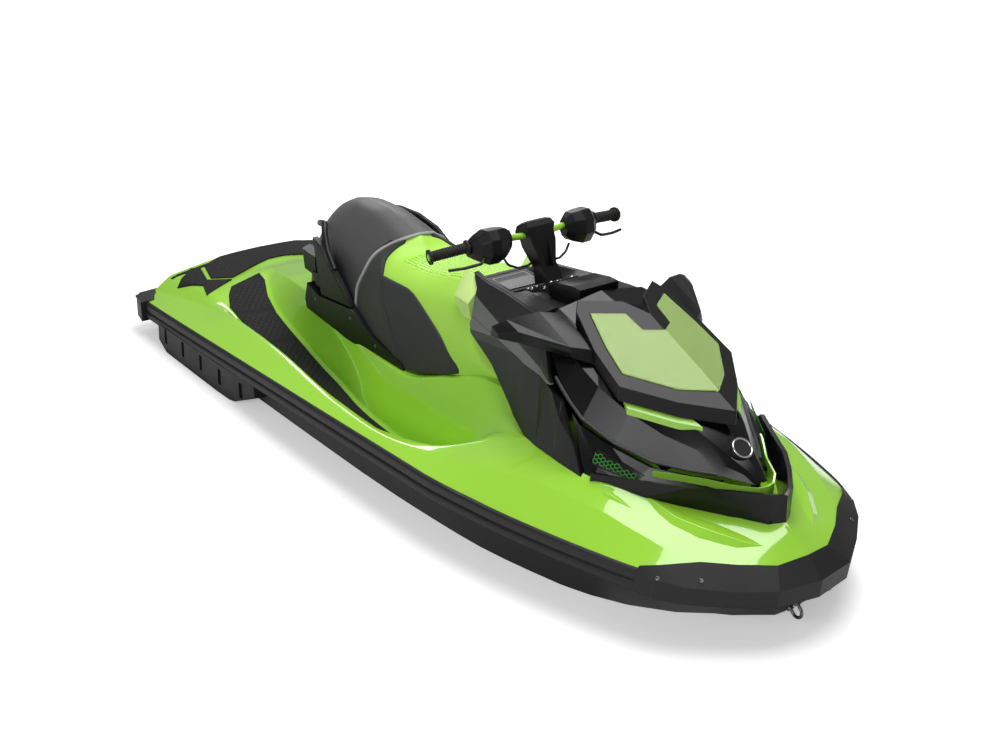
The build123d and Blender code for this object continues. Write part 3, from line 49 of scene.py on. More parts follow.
# ---------------------------------------------------------------- viewpoint
# The craft is looked at from ahead and to starboard, two and a half metres above the water,
# through a short telephoto lens.
KEEL_DEPTH = 254.0  # the keel's depth under the water level, mm
EYE = (4218.3, -3020.9, 2784.8)
HEADING, PITCH, ROLL = 2.50618, -0.41828, 0.00973  # radians
LENS, SENSOR = 57.6, 36.0


def place(x, y, height):
    """A point in millimetres, its height measured up from the keel, in the frame's metres."""
    return Vector((x, y, height - KEEL_DEPTH)) / 1000.0


forward = Vector((math.cos(PITCH) * math.cos(HEADING), math.cos(PITCH) * math.sin(HEADING),
                  math.sin(PITCH)))
right = forward.cross(Vector((0, 0, 1))).normalized()
upward = right.cross(forward)
right, upward = (math.cos(ROLL) * right + math.sin(ROLL) * upward,
                 math.cos(ROLL) * upward - math.sin(ROLL) * right)
camera_data = bpy.data.cameras.new("viewpoint")
camera_data.lens, camera_data.sensor_width = LENS, SENSOR
camera = bpy.data.objects.new("viewpoint", camera_data)
camera.matrix_world = Matrix.Translation(place(*EYE)) @ Matrix(
    (right, upward, -forward)).transposed().to_4x4()
scene.collection.objects.link(camera)
scene.camera = camera


# ---------------------------------------------------------------- water level and light
# A still white floor stands for the water's surface. A broad overhead panel and two softer
# ones at the sides light the craft as in a studio.
def feed(node, **sockets):
    """Sets or links a node's inputs, each by its name, or by its number after an underscore."""
    for label, value in sockets.items():
        socket = node.inputs[int(label[1:]) if label[1:].isdigit() else label.replace("_", " ")]
        if isinstance(value, bpy.types.NodeSocket):
            node.id_data.links.new(value, socket)
        else:
            socket.default_value = value


def wiring(tree):
    """Two short ways to fill a node tree: one adds any node, the other a sum of some values."""
    def add(kind, options=None, **sockets):
        node = tree.nodes.new(kind)
        for option, value in (options or {}).items():
            setattr(node, option, value)
        feed(node, **sockets)
        return node.outputs

    def sums(kind, *values):
        return add("ShaderNodeMath", {"operation": kind},
                   **{f"_{i}": value for i, value in enumerate(values)})["Value"]

    return add, sums


def still_floor():
    """Matt white, which glows a little to the eye alone, and more so farther out, so the floor
    round the craft is darker: a painted shade that deepens its shadow.
    """
    material = bpy.data.materials.new("still_floor")
    material.use_nodes = True
    material.node_tree.nodes.clear()
    add, sums = wiring(material.node_tree)
    reach = add("ShaderNodeVectorMath", {"operation": "LENGTH"},
                _0=add("ShaderNodeTexCoord")["Object"])["Value"]
    # The glow is weaker near the craft: painted shade on the floor round it.
    fade = add("ShaderNodeMapRange", Value=reach, From_Min=1.6, From_Max=5.0, To_Min=0.40,
               To_Max=0.85)["Result"]
    seen = sums("MULTIPLY", add("ShaderNodeLightPath")["Is Camera Ray"], fade)
    matt = add("ShaderNodeBsdfDiffuse", Color=(0.9, 0.9, 0.9, 1))[0]
    glow = add("ShaderNodeEmission", Strength=seen)[0]
    add("ShaderNodeOutputMaterial", Surface=add("ShaderNodeAddShader", _0=matt, _1=glow)[0])
    return material


FLOOR = 40.0  # half the floor's width, m
floor_mesh = bpy.data.meshes.new("still_floor")
floor_mesh.from_pydata([(FLOOR * x, FLOOR * y, 0) for x, y in ((-1, -1), (1, -1), (1, 1), (-1, 1))],
                       [], [(0, 1, 2, 3)])
floor_mesh.materials.append(still_floor())
floor = bpy.data.objects.new("still_floor", floor_mesh)
scene.collection.objects.link(floor)

world = bpy.data.worlds.new("studio")
world.use_nodes = True
scene.world = world
add, sums = wiring(world.node_tree)
ray = add("ShaderNodeLightPath")
shown = sums("MAXIMUM", ray["Is Camera Ray"], ray["Is Transmission Ray"])
feed(world.node_tree.nodes["Background"], Color=(1, 1, 1, 1), Strength=add(
    "ShaderNodeMapRange", Value=shown, To_Min=0.24, To_Max=1.0)["Result"])


def panel_light(name, location, aim, width, depth, watts):
    """A soft rectangular lamp, its place and size in metres."""
    lamp = bpy.data.lights.new(name, "AREA")
    lamp.shape = "RECTANGLE"
    lamp.size, lamp.size_y, lamp.energy = width, depth, watts
    fixture = bpy.data.objects.new(name, lamp)
    fixture.location = location
    fixture.rotation_euler = (Vector(aim) - Vector(location)).to_track_quat("-Z", "Y").to_euler()
    scene.collection.objects.link(fixture)


panel_light("overhead", (0.2, 0.6, 4.6), (0.1, 0, 0.3), 4.4, 2.6, 210)
panel_light("starboard_front", (2.6, -5.0, 2.8), (0.3, 0, 0.3), 3.4, 1.6, 90)
panel_light("stern_edge", (-4.6, 2.6, 3.0), (-0.4, 0, 0.4), 2.4, 1.4, 60)

# ---------------------------------------------------------------- hull
# The lower moulding: a glass-fibre shell in gloss black gelcoat, with a vee bottom, a hard
# chine and a tunnel for the jet. It is bonded to the deck under the rubbing rail.
def shader(name, colour, roughness, **sockets):
    """A material with one Principled BSDF: the material, its two ways to wire, the shader."""
    material = bpy.data.materials.new(name)
    material.use_nodes = True
    surface = material.node_tree.nodes["Principled BSDF"]
    feed(surface, Base_Color=(*colour, 1.0), Roughness=roughness, **sockets)
    return material, *wiring(material.node_tree), surface


def surface_finish():
    """Node group: gentle variation of colour and gloss over a part, and its fine grain."""
    group = bpy.data.node_groups.new("surface_finish", "ShaderNodeTree")
    for label, kind, value in (("Colour", "Color", (0.5, 0.5, 0.5, 1)), ("Spread", "Float", 0.06),
                               ("Roughness", "Float", 0.4), ("Grain Scale", "Float", 900.0),
                               ("Grain Depth", "Float", 0.0001)):
        socket = group.interface.new_socket(label, in_out="INPUT", socket_type="NodeSocket" + kind)
        socket.default_value = value
    for label, kind in (("Colour", "Color"), ("Roughness", "Float"), ("Normal", "Vector")):
        group.interface.new_socket(label, in_out="OUTPUT", socket_type="NodeSocket" + kind)
    add, sums = wiring(group)
    given, where = add("NodeGroupInput"), add("ShaderNodeTexCoord")["Object"]
    drift = sums("SUBTRACT", add("ShaderNodeTexNoise", Vector=where, Scale=4.0, Detail=3.0)["Fac"],
                 0.5)
    tint = add("ShaderNodeVectorMath", {"operation": "SCALE"}, _0=given["Colour"],
               Scale=sums("MULTIPLY_ADD", drift, given["Spread"], 1.0))["Vector"]
    grain = add("ShaderNodeTexNoise", Vector=where, Scale=given["Grain Scale"], Detail=2.0)["Fac"]
    add("NodeGroupOutput", Colour=tint,
        Roughness=sums("MULTIPLY_ADD", drift, 0.12, given["Roughness"]),
        Normal=add("ShaderNodeBump", Distance=given["Grain Depth"], Height=grain)["Normal"])
    return group


FINISH = surface_finish()


def grained(add, surface, colour, roughness, spread, grain, depth):
    """Feeds a shader from the shared finish; the colour is a value or a link."""
    finish = add("ShaderNodeGroup", {"node_tree": FINISH}, Colour=colour, Spread=spread,
                 Roughness=roughness, Grain_Scale=grain, Grain_Depth=depth)
    feed(surface, Base_Color=finish["Colour"], Roughness=finish["Roughness"],
         Normal=finish["Normal"])
    return finish


def finished(name, colour, roughness, spread=0.08, grain=900.0, depth=0.00012, **sockets):
    """A moulded or painted material: the shared finish feeding one Principled BSDF."""
    material, add, _, surface = shader(name, colour, roughness,
                                       **{"Specular_IOR_Level": 0.25, **sockets})
    grained(add, surface, (*colour, 1.0), roughness, spread, grain, depth)
    return material


def ease(mesh, degrees):
    """Smooth shading, with edges sharper than this left crisp."""
    work = bmesh.new()
    work.from_mesh(mesh)
    for face in work.faces:
        face.smooth = True
    for edge in work.edges:
        edge.smooth = (len(edge.link_faces) == 2
                       and edge.calc_face_angle(0.0) < math.radians(degrees))
    work.to_mesh(mesh)
    work.free()


def fit(name, mesh, material, body, replaced=(), bevel=0.0, limit=28.0, segments=2,
        smooth=None):
    """Places a mesh as a finished piece of the craft: bevel is its edges' rounding in mm,
    limit the least corner that gets it, and smooth the least one that shades as an edge."""
    if smooth:
        ease(mesh, smooth)
    mesh.materials.clear()
    mesh.materials.append(material)
    piece = bpy.data.objects.new(name, mesh)
    scene.collection.objects.link(piece)
    if bevel:
        rounding = piece.modifiers.new("rounded_edges", "BEVEL")
        rounding.width = bevel / 1000.0
        rounding.segments = segments
        rounding.limit_method = "ANGLE"
        rounding.angle_limit = math.radians(limit)
        rounding.harden_normals = True
    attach(piece, body)
    if replaced:
        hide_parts(*replaced)
    return piece


MERGE = 0.00002  # points nearer than this are one, m
FLAT = math.radians(0.6)  # faces that meet at less are one


def clean_copy(node):
    """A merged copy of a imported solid's mesh, its flat faces whole again."""
    mesh = nodes[node].data.copy()
    work = bmesh.new()
    work.from_mesh(mesh)
    bmesh.ops.remove_doubles(work, verts=work.verts, dist=MERGE)
    bmesh.ops.dissolve_limit(work, angle_limit=FLAT, verts=work.verts, edges=work.edges)
    work.to_mesh(mesh)
    work.free()
    return mesh


BODY_OF = {node: body for body, rows in frame["record"]["behaviour"]["bodies"].items()
           for node in rows}


def dress(node, material, bevel=1.5, limit=28.0, smooth=32.0, segments=2):
    """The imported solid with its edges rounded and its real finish."""
    return fit(node + "_finished", clean_copy(node), material, BODY_OF[node],
               (node,), bevel, limit, segments, smooth)


black_gelcoat = finished("black_gelcoat", (0.0035, 0.0035, 0.004), 0.16, grain=160, depth=0.00004,
                         Specular_IOR_Level=0.3)
dress("hull", black_gelcoat, bevel=0, smooth=24)

# ---------------------------------------------------------------- deck
# The upper moulding: lime gelcoat over broad gunwales, two footwells, the pedestal that the
# seat stands on and a ridged bow. Its sections are faired through the builder's lines.
KEEL_LINES = {
    "edge": [(-1650, 558, 389), (-1602, 567, 392), (-1020, 587, 426), (-234, 597, 464),
             (500, 587, 484), (800, 553, 487), (1000, 512, 486), (1200, 458, 484), (1328, 414, 481),
             (1442, 345, 475), (1544, 248, 466), (1600, 150, 461), (1632, 62, 458)],
    "shoulder": [(-1650, 504, 398), (-1191, 451, 442), (-1000, 462, 466), (-551, 500, 482),
                 (-112, 548, 486), (228, 560, 497), (499, 520, 517), (776, 470, 562),
                 (886, 436, 570), (1080, 400, 568), (1272, 350, 538), (1442, 276, 499),
                 (1544, 190, 484), (1600, 105, 474), (1632, 42, 466)],
    "gunwale": [(-1650, 470, 420), (-1191, 428, 455), (-1000, 437, 468), (-551, 474, 483),
                (-112, 523, 485), (153, 530, 484), (253, 512, 490), (440, 480, 520),
                (573, 400, 562), (757, 345, 606), (1053, 345, 612), (1160, 275, 600),
                (1264, 200, 583), (1384, 110, 571), (1497, 16, 560), (1588, 12, 498),
                (1632, 8, 468)],
    "well_out": [(-1650, 420, 448), (-1300, 405, 462), (-1191, 402, 450), (-1047, 405, 418),
                 (-838, 420, 372), (-575, 440, 335), (-194, 480, 330), (153, 492, 330),
                 (300, 478, 352), (420, 455, 450), (573, 380, 567), (757, 330, 612),
                 (1053, 322, 618), (1160, 250, 606), (1264, 175, 590), (1384, 88, 576),
                 (1497, 12, 561), (1588, 9, 499), (1632, 6, 469)],
    "well_in": [(-1650, 200, 472), (-1420, 150, 480), (-1327, 130, 492), (-1209, 185, 476),
                (-1077, 222, 433), (-838, 238, 374), (-575, 264, 336), (-194, 330, 331),
                (153, 350, 331), (300, 345, 353), (420, 330, 455), (573, 318, 575),
                (757, 300, 620), (1053, 288, 624), (1160, 215, 612), (1264, 140, 598),
                (1384, 66, 582), (1497, 8, 562), (1588, 6, 499), (1632, 4, 470)],
    "pedestal": [(-1650, 100, 477), (-1420, 96, 484), (-1327, 92, 500), (-1209, 118, 520),
                 (-1077, 142, 540), (-838, 176, 552), (-497, 220, 522), (-115, 236, 514),
                 (150, 222, 590), (382, 200, 655), (573, 200, 660), (757, 200, 660),
                 (1053, 200, 650), (1160, 148, 634), (1264, 92, 615), (1384, 38, 590),
                 (1497, 4, 563), (1588, 3, 499), (1632, 2, 471)]}
TUB = [(-1650, 350), (-1250, 340), (-1000, 300), (450, 300), (800, 350), (1000, 400),
       (1300, 425), (1632, 420)]
STERN_X, BOW_X, DECK_PITCH = -1650.0, 1632.0, 20.0
FLANGE_DROP = 34.0  # the joint with the hull lies this far under the deck's edge
CROWN = 2.0  # how much the deck rises from the pedestal's edge to its middle
FLANGE_IN, TUB_IN = 0.905, 0.87  # shares of the half width
PLATFORM_SWEEP = ((0, 0), (160, 0), (380, 18.4), (520, 36.8), (600, 46))
SWEEP_LENGTH = 200.0


def fair(table, x, column=1):
    """A value of a line at x, on a curve that never overshoots its stations."""
    xs, ys = [row[0] for row in table], [row[column] for row in table]
    if x <= xs[0] or x >= xs[-1]:
        return float(ys[0] if x <= xs[0] else ys[-1])
    runs = [(b - a) / (d - c) for a, b, c, d in zip(ys, ys[1:], xs, xs[1:])]
    slopes = [runs[0]] + [0.0 if a * b <= 0 else 2 * a * b / (a + b)
                          for a, b in zip(runs, runs[1:])] + [runs[-1]]
    i = max(k for k in range(len(xs) - 1) if xs[k] <= x)
    run = xs[i + 1] - xs[i]
    t = (x - xs[i]) / run
    return ((2 * t**3 - 3 * t**2 + 1) * ys[i] + (3 * t**2 - 2 * t**3) * ys[i + 1]
            + ((t**3 - 2 * t**2 + t) * slopes[i] + (t**3 - t**2) * slopes[i + 1]) * run)


def straight(table, value):
    """A value between the rows of a two-column table, in straight runs."""
    for (a, low), (b, high) in zip(table, table[1:]):
        if value <= b:
            return low + (high - low) * (value - a) / (b - a)
    return table[-1][1]


CORNER_ROUND = {"shoulder": [(-1650, 12), (500, 10), (900, 4), (1650, 4)],
                "gunwale": [(-1650, 14), (300, 16), (700, 6), (1650, 4)],
                "well_out": [(-1650, 16), (500, 14), (1650, 8)],
                "well_in": [(-1650, 14), (1650, 10)], "ledge": [(-1650, 6), (1650, 4)],
                "pedestal": [(-1650, 4), (1650, 4)]}
LEDGE = [(-1650, 6), (-1000, 10), (-500, 18), (-100, 26), (300, 30), (480, 24), (620, 6),
         (1650, 0.8)]
LEDGE_FALL = 0.12  # its slope down and outwards
CORNER_STEPS = 5
CORNER_SHARE = 0.46  # the most of a side that one rounded corner takes


def rounded(corners, radii):
    """An open run of corners with each inner one rounded, as evenly counted points."""
    points = [Vector(corners[0])]
    for before, corner, after, radius in zip(corners, corners[1:], corners[2:], radii):
        a, p, b = Vector(before), Vector(corner), Vector(after)
        back = min(radius, CORNER_SHARE * (a - p).length, CORNER_SHARE * (b - p).length)
        start, end = p + (a - p).normalized() * back, p + (b - p).normalized() * back
        last = points[-1]
        points += [last.lerp(start, k / 3) for k in (1, 2)]
        for k in range(CORNER_STEPS):
            t = k / (CORNER_STEPS - 1)
            points.append(start * (1 - t)**2 + p * 2 * t * (1 - t) + end * t**2)
    last = points[-1]
    return points + [last.lerp(Vector(corners[-1]), k / 3) for k in (1, 2, 3)]


def deck_top(x):
    """Rounded section of the deck from its port edge to the centreline: (y, height) points."""
    line = {name: (fair(rows, x), fair(rows, x, 2)) for name, rows in KEEL_LINES.items()}
    ledge, seat_edge = straight(LEDGE, x), line["pedestal"]
    corners = [line["edge"], line["shoulder"], line["gunwale"], line["well_out"], line["well_in"],
               (seat_edge[0] + ledge, seat_edge[1] - LEDGE_FALL * ledge), seat_edge,
               (0.0, seat_edge[1] + CROWN)]
    return rounded(corners, [straight(rows, x) for rows in CORNER_ROUND.values()])


def swept(x, y):
    """The platform's aft corners lie ahead of its middle."""
    return x + straight(PLATFORM_SWEEP, abs(y)) * max(0.0, 1 - (x - STERN_X) / SWEEP_LENGTH)


def deck_section(x):
    """The deck's closed section: its top, the joint's flange and the tub that hangs inside."""
    top = deck_top(x)
    edge, edge_height = top[0]
    joint = edge_height - FLANGE_DROP
    tub = min(fair(TUB, x), joint)
    half = [(edge, joint)] + top
    ring = half + [(-y, h) for y, h in reversed(half[:-1])]
    ring += [(-edge * FLANGE_IN, joint), (-edge * TUB_IN, tub), (edge * TUB_IN, tub),
             (edge * FLANGE_IN, joint)]
    return [place(swept(x, y), y, h) for y, h in ring]


def loft(rings):
    """Vertices and faces of a shell through closed rings with equal numbers of points."""
    count = len(rings[0])
    vertices = [point for ring in rings for point in ring]
    faces = [(k * count + i, k * count + (i + 1) % count, (k + 1) * count + (i + 1) % count,
              (k + 1) * count + i) for k in range(len(rings) - 1) for i in range(count)]
    faces += [tuple(range(count)),
              tuple(reversed(range((len(rings) - 1) * count, len(rings) * count)))]
    return vertices, faces


def solid_mesh(name, vertices, faces):
    """A mesh with its doubles merged and its faces turned outwards."""
    mesh = bpy.data.meshes.new(name)
    mesh.from_pydata([tuple(v) for v in vertices], [], faces)
    work = bmesh.new()
    work.from_mesh(mesh)
    bmesh.ops.remove_doubles(work, verts=work.verts, dist=MERGE)
    bmesh.ops.recalc_face_normals(work, faces=work.faces)
    work.to_mesh(mesh)
    work.free()
    return mesh


def cut(mesh, cutter_meshes):
    """The mesh less some solid cutters."""
    target = bpy.data.objects.new("cut_target", mesh)
    scene.collection.objects.link(target)
    tools = []
    for cutter in cutter_meshes:
        tool = bpy.data.objects.new("cut_tool", cutter)
        scene.collection.objects.link(tool)
        tools.append(tool)
        step = target.modifiers.new("cut", "BOOLEAN")
        step.operation, step.object, step.solver = "DIFFERENCE", tool, "EXACT"
    result = bpy.data.meshes.new_from_object(
        target.evaluated_get(bpy.context.evaluated_depsgraph_get()))
    for spare in tools + [target]:
        bpy.data.objects.remove(spare)
    return result


def stations(start, end, pitch):
    """Evenly spaced places from start to end, no more than the pitch apart."""
    count = max(1, math.ceil((end - start) / pitch))
    return [start + (end - start) * i / count for i in range(count + 1)]


def block_mesh(x, y, height):
    """A box between pairs of x, y and height, in millimetres."""
    corners = [place(x[i], y[j], height[k]) for i in (0, 1) for j in (0, 1) for k in (0, 1)]
    return solid_mesh("block", corners, [(0, 1, 3, 2), (4, 6, 7, 5), (0, 4, 5, 1), (2, 3, 7, 6),
                                         (0, 2, 6, 4), (1, 5, 7, 3)])


BUMPER_LINE = [(1590, 0), (1571, 100), (1510, 196), (1442, 276), (1378, 370), (1340, 408)]
STEP_FOOT, STEP_TOP, STEP_OUT, STEP_FLARE = 360, 560, 90, 1.25
BIN_HOLE = (775, 1146), (-154, 154), (390, 760)  # along, across and up
step_rings = []
for side, rows in ((1, list(reversed(BUMPER_LINE))), (-1, BUMPER_LINE[1:])):
    for x, y in rows:
        near, far = (x, side * y), (x + STEP_OUT, side * y * STEP_FLARE)
        step_rings.append([place(*near, STEP_FOOT), place(*far, STEP_FOOT), place(*far, STEP_TOP),
                           place(*near, STEP_TOP)])

lime_gelcoat = finished("lime_gelcoat", (0.335, 0.70, 0.045), 0.2, spread=0.05, grain=140,
                        depth=0.00003, Coat_Weight=1.0, Coat_Roughness=0.03, Coat_IOR=1.5)
deck_mesh = solid_mesh("deck_moulding", *loft([deck_section(x) for x in
                                               stations(STERN_X, BOW_X, DECK_PITCH)]))
deck_mesh = cut(deck_mesh, [solid_mesh("bumper_step", *loft(step_rings)), block_mesh(*BIN_HOLE)])
fit("deck_moulding", deck_mesh, lime_gelcoat, "craft", ("deck",), smooth=30)

# ---------------------------------------------------------------- rubbing rails and bow bumper
# The rails are grained rubber-like mouldings in two bands with a groove between, screwed over
# the joint of hull and deck. A faceted bumper closes them at the stem and caps at the stern.
rail_rubber = finished("rail_rubber", (0.015, 0.015, 0.016), 0.5, spread=0.16, grain=1500,
                       depth=0.0002, Specular_IOR_Level=0.3)
RAIL_BANDS = [(0, 0), (11, 1), (15, 5), (16, 10), (16, 29), (13, 33), (9.5, 35.5), (9.5, 37.5),
              (13, 40), (16, 44), (16, 60), (13, 67), (8, 70), (0, 70)]
RAIL_AFT, RAIL_FORE, RAIL_PITCH = -1520.0, 1340.0, 22.0


def rail_on(side):
    """A rail on the deck's edge, its bands measured out and down from it."""
    rings = []
    for x in stations(RAIL_AFT, RAIL_FORE, RAIL_PITCH):
        edge, top = fair(KEEL_LINES["edge"], x), fair(KEEL_LINES["edge"], x, 2)
        rings.append([place(x, side * (edge + out), top - down) for out, down in RAIL_BANDS])
    return loft(rings)


def joined(shells):
    """The vertices and faces of several shells as one set."""
    vertices, faces = [], []
    for points, skins in shells:
        faces += [tuple(i + len(vertices) for i in skin) for skin in skins]
        vertices += points
    return vertices, faces


def both_flanks(name, build):
    """One mesh holding the shell that build(side) makes and its mirror image."""
    return solid_mesh(name, *joined([build(side) for side in (1, -1)]))


fit("rubbing_rails", both_flanks("side_rails", rail_on), rail_rubber, "craft",
    ("side_rails",), smooth=40)

bumper_rubber = finished("bumper_rubber", (0.013, 0.013, 0.014), 0.46, spread=0.14, grain=1600,
                         depth=0.00022, Specular_IOR_Level=0.3)
dress("bow_bumper", bumper_rubber, bevel=3.0, limit=9, smooth=9)
dress("stern_caps", bumper_rubber, bevel=6.0, limit=20, segments=3)
dress("sponsons", rail_rubber, bevel=3.0, limit=20)

# ---------------------------------------------------------------- bow ridges and fixings
# Low blade-shaped ridges moulded into the deck run forward on each side of the nose. Steel
# screws with round heads and sockets hold the bumper and the stern caps.
def deck_height(x, y):
    """Height of the deck's unrounded surface."""
    line = [(fair(KEEL_LINES[name], x), fair(KEEL_LINES[name], x, 2)) for name in
            ("pedestal", "well_in", "well_out", "gunwale", "shoulder", "edge")]
    line = [(0.0, line[0][1] + CROWN)] + line
    return straight(line, abs(y))


RIDGE_SUNK, RIDGE_DEPTH = 3, 14


def ridge_on(side, outer, crest, inner, lift):
    """A long wedge on the deck: a steep outer face and a broad inner one meeting at a crest."""
    rows = []
    for (xo, yo), (xc, yc), (xi, yi), rise in zip(outer, crest, inner, lift):
        rows.append([place(xo, side * yo, deck_height(xo, yo) - RIDGE_SUNK),
                     place(xc, side * yc, deck_height(xc, yc) + rise),
                     place(xi, side * yi, deck_height(xi, yi) - RIDGE_SUNK),
                     place(xc, side * yc, deck_height(xc, yc) - RIDGE_DEPTH)])
    return loft(rows)


RIDGES = [  # outer foot, crest, inner foot in plan, and the crest's rise
    ([(1180, 268), (1300, 268), (1384, 232), (1470, 168), (1522, 92)],
     [(1180, 258), (1300, 240), (1384, 202), (1470, 142), (1522, 88)],
     [(1180, 246), (1300, 196), (1384, 146), (1470, 104), (1522, 84)], [0, 9, 14, 9, 0]),
    ([(1050, 372), (1120, 352), (1200, 318)], [(1050, 368), (1120, 340), (1200, 312)],
     [(1050, 360), (1120, 322), (1200, 306)], [0, 7, 0])]
fit("bow_ridges", both_flanks("bow_ridges", lambda side: joined(
    [ridge_on(side, *shape) for shape in RIDGES])), lime_gelcoat, "craft",
    bevel=1.5, limit=20, smooth=8)


def node_tree(name, **inputs):
    """An empty Geometry Nodes tree with its named inputs, and the ways to fill and end it."""
    tree = bpy.data.node_groups.new(name, "GeometryNodeTree")
    for label, kind in {"Geometry": "Geometry", **inputs}.items():
        tree.interface.new_socket(label, in_out="INPUT", socket_type="NodeSocket" + kind)
    tree.interface.new_socket("Geometry", in_out="OUTPUT", socket_type="NodeSocketGeometry")
    add, sums = wiring(tree)
    given = add("NodeGroupInput")

    def finish(geometry):
        real = add("GeometryNodeRealizeInstances", Geometry=geometry)["Geometry"]
        smooth = add("GeometryNodeSetShadeSmooth", Geometry=real)["Geometry"]
        add("NodeGroupOutput", Geometry=add("GeometryNodeSetMaterial", Geometry=smooth,
                                            Material=given["Material"])["Geometry"])
        return tree

    return given, add, sums, finish


def grown(name, tree, points, edges=(), directions=None, **sizes):
    """The tree's result on a set of points or paths, as a plain mesh."""
    seats = bpy.data.meshes.new(name + "_seats")
    seats.from_pydata([tuple(p) for p in points], list(edges), [])
    if directions:
        outward = seats.attributes.new("outward", "FLOAT_VECTOR", "POINT")
        outward.data.foreach_set("vector", [c for d in directions for c in d])
    holder = bpy.data.objects.new(name + "_seats", seats)
    scene.collection.objects.link(holder)
    maker = holder.modifiers.new("maker", "NODES")
    maker.node_group = tree
    for item in tree.interface.items_tree:
        if item.item_type == "SOCKET" and item.in_out == "INPUT" and item.name in sizes:
            value = sizes[item.name]
            maker[item.identifier] = tuple(value) if isinstance(value, Vector) else value
    depsgraph = bpy.context.evaluated_depsgraph_get()
    mesh = bpy.data.meshes.new_from_object(holder.evaluated_get(depsgraph))
    bpy.data.objects.remove(holder)
    mesh.name = name
    return mesh


def screw_tree():
    """A chamfered round head with a socket recess, on every point and along its direction."""
    given, add, sums, finish = node_tree("screw_heads", Radius="Float", Proud="Float",
                                         Material="Material")
    side = add("GeometryNodeMeshCylinder", Vertices=12, Radius=given["Radius"],
               Depth=given["Proud"])
    head, top = side["Mesh"], side["Top"]
    for rise, share in ((0.45, 0.75), (0.1, 0.62), (-0.7, 0.8)):
        step = add("GeometryNodeExtrudeMesh", Mesh=head, Selection=top, Individual=False,
                   Offset_Scale=sums("MULTIPLY", given["Proud"], rise))
        head, top = step["Mesh"], step["Top"]
        head = add("GeometryNodeScaleElements", Geometry=head, Selection=top,
                   Scale=share)["Geometry"]
    outward = add("GeometryNodeInputNamedAttribute", {"data_type": "FLOAT_VECTOR"},
                  Name="outward")["Attribute"]
    turned = add("FunctionNodeAlignRotationToVector", {"axis": "Z"}, Vector=outward)["Rotation"]
    return finish(add("GeometryNodeInstanceOnPoints", Points=given["Geometry"], Instance=head,
                      Rotation=turned)["Instances"])


SCREWS = screw_tree()


def screws(name, seats, material, body, radius=7.0, proud=2.6):
    """Fits screw heads on (centre, outward direction) seats in millimetres."""
    heads = grown(name, SCREWS, [place(*centre) for centre, _ in seats],
                  directions=[tuple(Vector(out).normalized()) for _, out in seats],
                  Radius=radius / 1000, Proud=proud / 1000, Material=material)
    fit(name, heads, material, body)


screw_steel = finished("screw_steel", (0.16, 0.16, 0.165), 0.3, grain=900, depth=0.0001,
                       Metallic=0.9)
EDGE_SCREWS = (((1400, 393, 470), (0.43, 0.44, 0.79)), ((1480, 302, 470), (0.48, 0.34, 0.8)),
               ((-1600, 588, 400), (-0.71, 0.71, 0)), ((-1560, 598, 380), (-0.2, 0.98, 0)))
screws("edge_screws", [((x, side * y, h), (ahead, side * out, up)) for (x, y, h), (ahead, out, up)
                       in EDGE_SCREWS for side in (1, -1)], screw_steel, "craft")

# ---------------------------------------------------------------- footwell and stern mats
# Closed-cell foam sheets glued down in the footwells and on the stern platform. They are
# black, with a tread of small diamonds pressed into them.
def tread_foam(name, colour, pitch):
    """Matt foam with open pores and a pressed tread of diamonds, a pitch in metres apart, its
    grooves darkened with painted shade.
    """
    material, add, _, surface = shader(name, colour, 0.82, Specular_IOR_Level=0.3)
    where = add("ShaderNodeTexCoord")["Object"]
    turned = add("ShaderNodeMapping", Vector=where, Rotation=(0, 0, math.radians(45)),
                 Scale=(1 / pitch, 1 / pitch, 0.4 / pitch))["Vector"]
    cells = add("ShaderNodeTexVoronoi", {"distance": "CHEBYCHEV"}, Vector=turned, Scale=1.0,
                Randomness=0.0)["Distance"]
    land = add("ShaderNodeMapRange", Value=cells, From_Min=0.36, From_Max=0.47, To_Min=1.0,
               To_Max=0.0)["Result"]
    tread = add("ShaderNodeBump", Strength=0.9, Distance=0.0022, Height=land)["Normal"]
    pores = add("ShaderNodeTexNoise", Vector=where, Scale=420.0)["Fac"]
    # The tread's grooves take 0.45 of the colour: painted shade in its recesses.
    shade = add("ShaderNodeMixRGB", Fac=land, Color1=(*[0.45 * part for part in colour], 1),
                Color2=(*colour, 1))["Color"]
    feed(surface, Base_Color=shade, Normal=add("ShaderNodeBump", Distance=0.0003, Height=pores,
                                               Normal=tread)["Normal"])
    return material


mat_foam = tread_foam("mat_foam", (0.016, 0.016, 0.017), 0.021)
dress("footwell_mats", mat_foam, bevel=2.0, limit=20, smooth=24)
dress("rear_deck_mats", mat_foam, bevel=2.0, limit=20)

deck_surface = BVHTree.FromPolygons([vertex.co for vertex in deck_mesh.vertices],
                                    [tuple(polygon.vertices) for polygon in deck_mesh.polygons])
STRIP_SUNK, STRIP_PROUD, STRIP_WIDTH = -2.0, 2.5, 20
stern_line = [(swept(STERN_X + 26, y), y) for y in (196, 235, 275, 315, 355, 395, 430)]
stern_line += [(x + STRIP_WIDTH, y) for x, y in reversed(stern_line)]


def stern_strip_on(side):
    """A thin pad laid on the deck's own surface."""
    feet = [deck_surface.ray_cast(Vector((x, side * y, 1000)) / 1000, Vector((0, 0, -1)))[0]
            for x, y in stern_line]
    return loft([[foot + Vector((0, 0, lift / 1000)) for foot in feet]
                 for lift in (STRIP_SUNK, STRIP_PROUD)])


fit("stern_strips", both_flanks("stern_strips", stern_strip_on), mat_foam, "craft",
    smooth=20)

